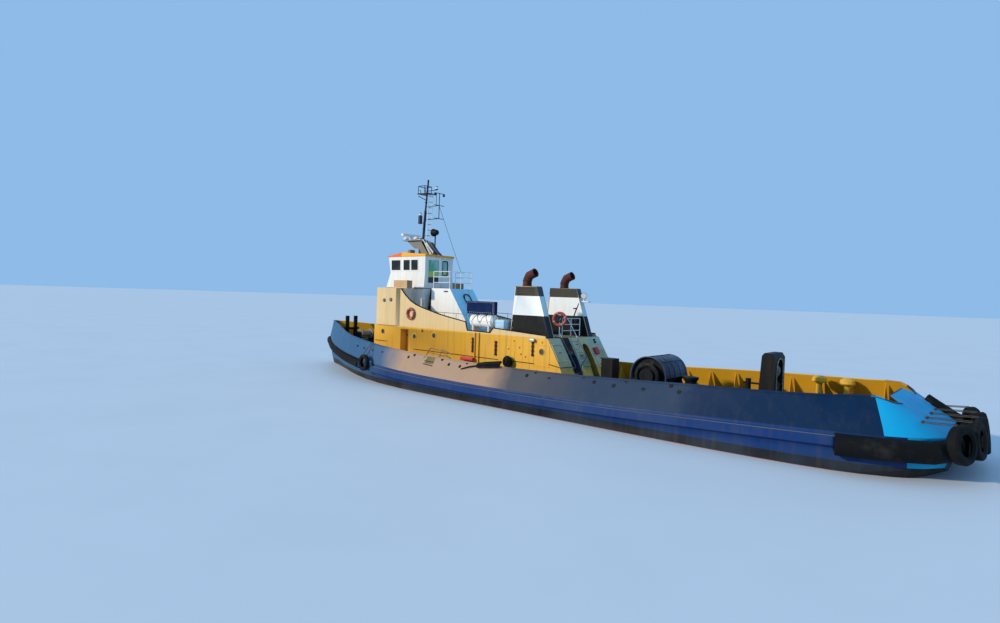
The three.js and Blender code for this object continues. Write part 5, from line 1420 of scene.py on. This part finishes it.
def lever(kit, place, reach=0.16):
    kit.put(boss(0.028, 0.035, 0.016, 0.05, 10), place)
    kit.put(rod(place @ Vector((0, 0, 0.04)), place @ Vector((reach, 0, 0.055)), 0.011, sides=6))
    kit.put(turned([(0, 0), (0.018, 0.01), (0.018, 0.03), (0, 0.04)], 8),
            place @ Matrix.Translation((reach, 0, 0.03)))


def door_gear(name, centre, out, wide, tall, rim_paint, corner=0.12, rim_wide=0.03, turns=STANDING,
              height=1.0):
    place, kit = at(centre, out, Z), Kit()
    flat = Matrix.Diagonal((1, 1, height, 1))
    for u, v in ((0.5, 0.36), (0.5, -0.36), (-0.5, 0.3), (-0.5, -0.3), (0.5, 0)):
        turn = Matrix.Rotation(turns[u < 0], 4, "Z")
        lever(kit, place @ Matrix.Translation((u * 0.76 * wide, v * tall, 0)) @ turn @ flat)
    kit.done(f"{name}_levers", black, name)
    rim = Kit().put(plate(wide * 0.96, tall * 0.97, min(wide, tall) * corner, 0.02, rim_wide), place)
    rim.done(f"{name}_rim", rim_paint, name)


for name, side in SIDES:
    low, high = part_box(f"side_door_{name}")
    door_gear(f"side_door_{name}", ((low.x + high.x) / 2, side * 1.786, (low.z + high.z) / 2), (0, side, 0),
              0.66, 1.78, yellow, turns=LYING)
low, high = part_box("aft_door")
door_gear("aft_door", (-2.256, -0.576, (low.z + high.z) / 2), (-1, 0, 0), 0.44, 1.64, pale_green, height=0.45)
door_gear("casing_door", (4.692, -0.02, 4.694), (-0.7994, 0, 0.6007), 0.62, 1.5, navy_trim, 0.46, 0.075)
knob = Kit()
lever(knob, at((7.42, -0.26, 6.35), (-1, 0, 0)), 0.12)
knob.done("wheelhouse_handle", chrome, "wheelhouse_door")
print("door gear set")

# %% [markdown]
# ## Inside the wheelhouse
# The helmsman's seat is a steel pillar under two padded cushions, and the console has a wheel, two
# engine levers and tilted screens. The cushions are blown up a little as cloth, so their faces crown
# and their edges pull in at the piping.

# %% Seat
SEAT_HEIGHT = 6.105
VOXEL, CROWN, DRAWN_IN = 0.012, 0.018, 0.05
PRESSURE, FRAMES, TRAVEL = 4, 20, 0.012


def cushion(name, size, place):
    """A slightly small block is remeshed and inflated as cloth, with its travel capped."""
    bm = box(-Vector(size) / 2, Vector(size) / 2, 0.03)
    mesh = bpy.data.meshes.new(name)
    bm.to_mesh(mesh)
    bm.free()
    pad = bpy.data.objects.new(name, mesh)
    bpy.context.scene.collection.objects.link(pad)
    remesh = pad.modifiers.new("voxels", "REMESH")
    remesh.mode, remesh.voxel_size = "VOXEL", VOXEL
    start = settled(pad)
    for v in start.vertices:
        u, w = v.co.x / (size[0] / 2), v.co.y / (size[1] / 2)
        v.co.z += math.copysign(CROWN, v.co.z) * max(0, 1 - u * u) * max(0, 1 - w * w)
        v.co.x *= 1 - DRAWN_IN * max(0, 1 - w * w) * u * u
        v.co.y *= 1 - DRAWN_IN * max(0, 1 - u * u) * w * w
    pad.modifiers.clear()
    pad.data = start
    rest = [v.co.copy() for v in start.vertices]
    cloth = pad.modifiers.new("air", "CLOTH")
    cloth.settings.use_pressure = True
    cloth.settings.uniform_pressure_force = PRESSURE
    cloth.settings.effector_weights.gravity = 0
    for number in range(1, FRAMES + 1):
        bpy.context.scene.frame_set(number)
    blown = settled(pad)
    for v, was in zip(blown.vertices, rest):
        move = v.co - was
        v.co = was + move * min(1, TRAVEL / max(move.length, 1e-6))
    pad.modifiers.clear()
    pad.data = blown
    bpy.context.scene.frame_set(1)
    made = pad.data
    made.transform(place)
    made.materials.clear()
    made.materials.append(seat_cloth.material)
    made.shade_smooth()
    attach(pad, "ship")
    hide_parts("helm_seat")


def settled(piece):
    """The piece's mesh with its modifiers worked in."""
    graph = bpy.context.evaluated_depsgraph_get()
    return bpy.data.meshes.new_from_object(piece.evaluated_get(graph))


cushion("seat_cushion", (0.46, 0.44, 0.10), Matrix.Translation((9.15, 0, SEAT_HEIGHT)))
back = Matrix.Translation((8.91, 0, 6.46)) @ Matrix.Rotation(1.44, 4, "Y")
cushion("seat_back", (0.56, 0.40, 0.075), back)
stand = Kit()
pillar = [(0, 5.6), (0.26, 5.6), (0.25, 5.625), (0.07, 5.64), (0.06, 5.7), (0.06, 6.04), (0, 6.04)]
stand.put(turned(pillar, 24), Matrix.Translation((9.15, 0, 0)))
stand.put(box((8.92, -0.2, 6.03), (9.38, 0.2, 6.05), 0.008))
stand.done("seat_stand", chrome, replaces=("helm_seat",))
line = [(x, y, SEAT_HEIGHT) for x, y in ((8.93, -0.19), (9.36, -0.21), (9.365, 0.21), (8.93, 0.19))]
Kit().put(bar(line, 0.006, 6)).done("seat_piping", seat_cloth)
print("seat set")

# %% Console
DESK_LEAN = (-0.32, 0, 0.95)
desk, screens, helm = Kit(), Kit(), Kit()
for y in (-0.55, 0.0, 0.55):
    screens.put(plate(0.34, 0.22, 0.02, 0.02), at((10.22, y, 6.47), DESK_LEAN, Y))
    desk.put(plate(0.40, 0.28, 0.03, 0.014), at((10.222, y, 6.455), DESK_LEAN, Y))
for y in (0.26, 0.34):
    desk.put(rod((10.08, y, 6.38), (10.04, y, 6.5), 0.012, sides=8))
    desk.put(turned([(0, 0), (0.024, 0.01), (0.024, 0.035), (0, 0.045)], 10), at((10.04, y, 6.49)))
wheel = at((9.90, -0.28, 6.28), (-1, 0, 0.2))
helm.put(ring(0.19, 0.014, 28, 8), wheel)
for i in range(3):
    turn = Matrix.Rotation(TURN * i / 3, 4, "Z")
    helm.put(rod((0, 0, 0), (0.19, 0, 0), 0.01, sides=6), wheel @ turn)
helm.put(rod((9.9, -0.28, 6.28), (10.05, -0.28, 6.25), 0.03, sides=10))
desk.done("console_frames", black)
screens.done("console_screens", dark_glass)
helm.done("helm_wheel", chrome)
print("console set")

# %% [markdown]
# ## Deck gear fore and aft
# Hatches, fairleads and the arch's rubbing bar finish the deck. The bar follows the arch's opening,
# where the tow wire polishes it bright.

# %% Deck gear
HATCHES = [(-11.0, -1.9, 0.8), (-14.6, 0.0, 0.9), (12.6, 0.0, 0.9), (-9.2, 2.2, 0.6), (9.8, 2.95, 0.5)]
hatches, dogs, liner, arcs, rolls = Kit(), Kit(), Kit(), Kit(), Kit()
for x, y, wide in HATCHES:
    z = deck_height(x)
    hatches.put(plate(wide, wide, 0.08, 0.10), at((x, y, z + 0.01)))
    hatches.put(plate(wide * 1.06, wide * 1.06, 0.09, 0.03, 0.05), at((x, y, z + 0.11)))
    for i in range(4):
        turn = Matrix.Rotation(TURN * i / 4, 4, "Z")
        place = at((x, y, z + 0.13)) @ turn @ Matrix.Translation((wide * 0.42, 0, 0))
        dogs.put(disc(0.03, 0.03, 8, 0.04), place)
        dogs.put(rod(place @ Vector((-0.08, 0, 0.03)), place @ Vector((0.08, 0, 0.03)), 0.012, sides=6))
hatches.done("deck_hatches", grey)
dogs.done("deck_hatch_dogs", black)
ARCH_HALF, ARCH_SPRING = 0.41, 2.70
crown = [(ARCH_HALF * math.cos(a), ARCH_SPRING + ARCH_HALF * math.sin(a)) for a in degrees(15, 180, 15)]
opening = [(ARCH_HALF, 1.45), (ARCH_HALF, 2.68), *crown, (-ARCH_HALF, 2.68), (-ARCH_HALF, 1.45)]
for x in (-12.435, -11.83):
    lean = 0.09 if x > -12 else 0.0
    liner.put(bar([(x - lean * max(0, z - 1.7) / 1.5, y, z) for y, z in opening], 0.03, 6))
liner.done("arch_liner", pale_rope)
for x, y in ((-10.85, 1.9), (-11.45, 1.75)):
    arc = [(x - 0.42 * math.cos(a), y, 1.35 + 0.62 * math.sin(a)) for a in degrees(0, 181, 20)]
    arcs.put(bar([(arc[0][0], y, 0.95), *arc, (arc[-1][0], y, 0.95)], 0.02, 6))
arcs.done("deck_hoops", black)
for y, thick in ((-1.70, 0.07), (-1.86, 0.09), (-2.06, 0.10), (-2.28, 0.09)):
    line = [(x, y + 0.02 * math.sin(x * 9), 1.92 + (x + 16.99) * 0.644 + thick * 1.2)
            for x in (-17.02, -17.25, -17.5, -17.7, -17.88)] + [(-18.1, y, 1.36)]
    rolls.put(bar(line, thick, 10, 4))
rolls.done("transom_fenders", rubber)
print("deck gear set")

# %% [markdown]
# ## The floor
# A pale floor lies at the waterline. It is no part of the boat.

# %% Floor and its finish
def add_floor():
    bm = bmesh.new()
    bmesh.ops.create_grid(bm, x_segments=1, y_segments=1, size=FLOOR_SIZE)
    mesh = bpy.data.meshes.new("floor")
    bm.to_mesh(mesh)
    bm.free()
    finish = Finish("floor", None, (0.62, 0.68, 0.74, 1), 0.6)
    finish.tint(finish.between(finish.noise(0.2, 3), 0.4, 0.7, (0, 0.4)), (0.56, 0.62, 0.68, 1))
    mesh.materials.append(finish.material)
    floor = bpy.data.objects.new("floor", mesh)
    bpy.context.scene.collection.objects.link(floor)


add_floor()
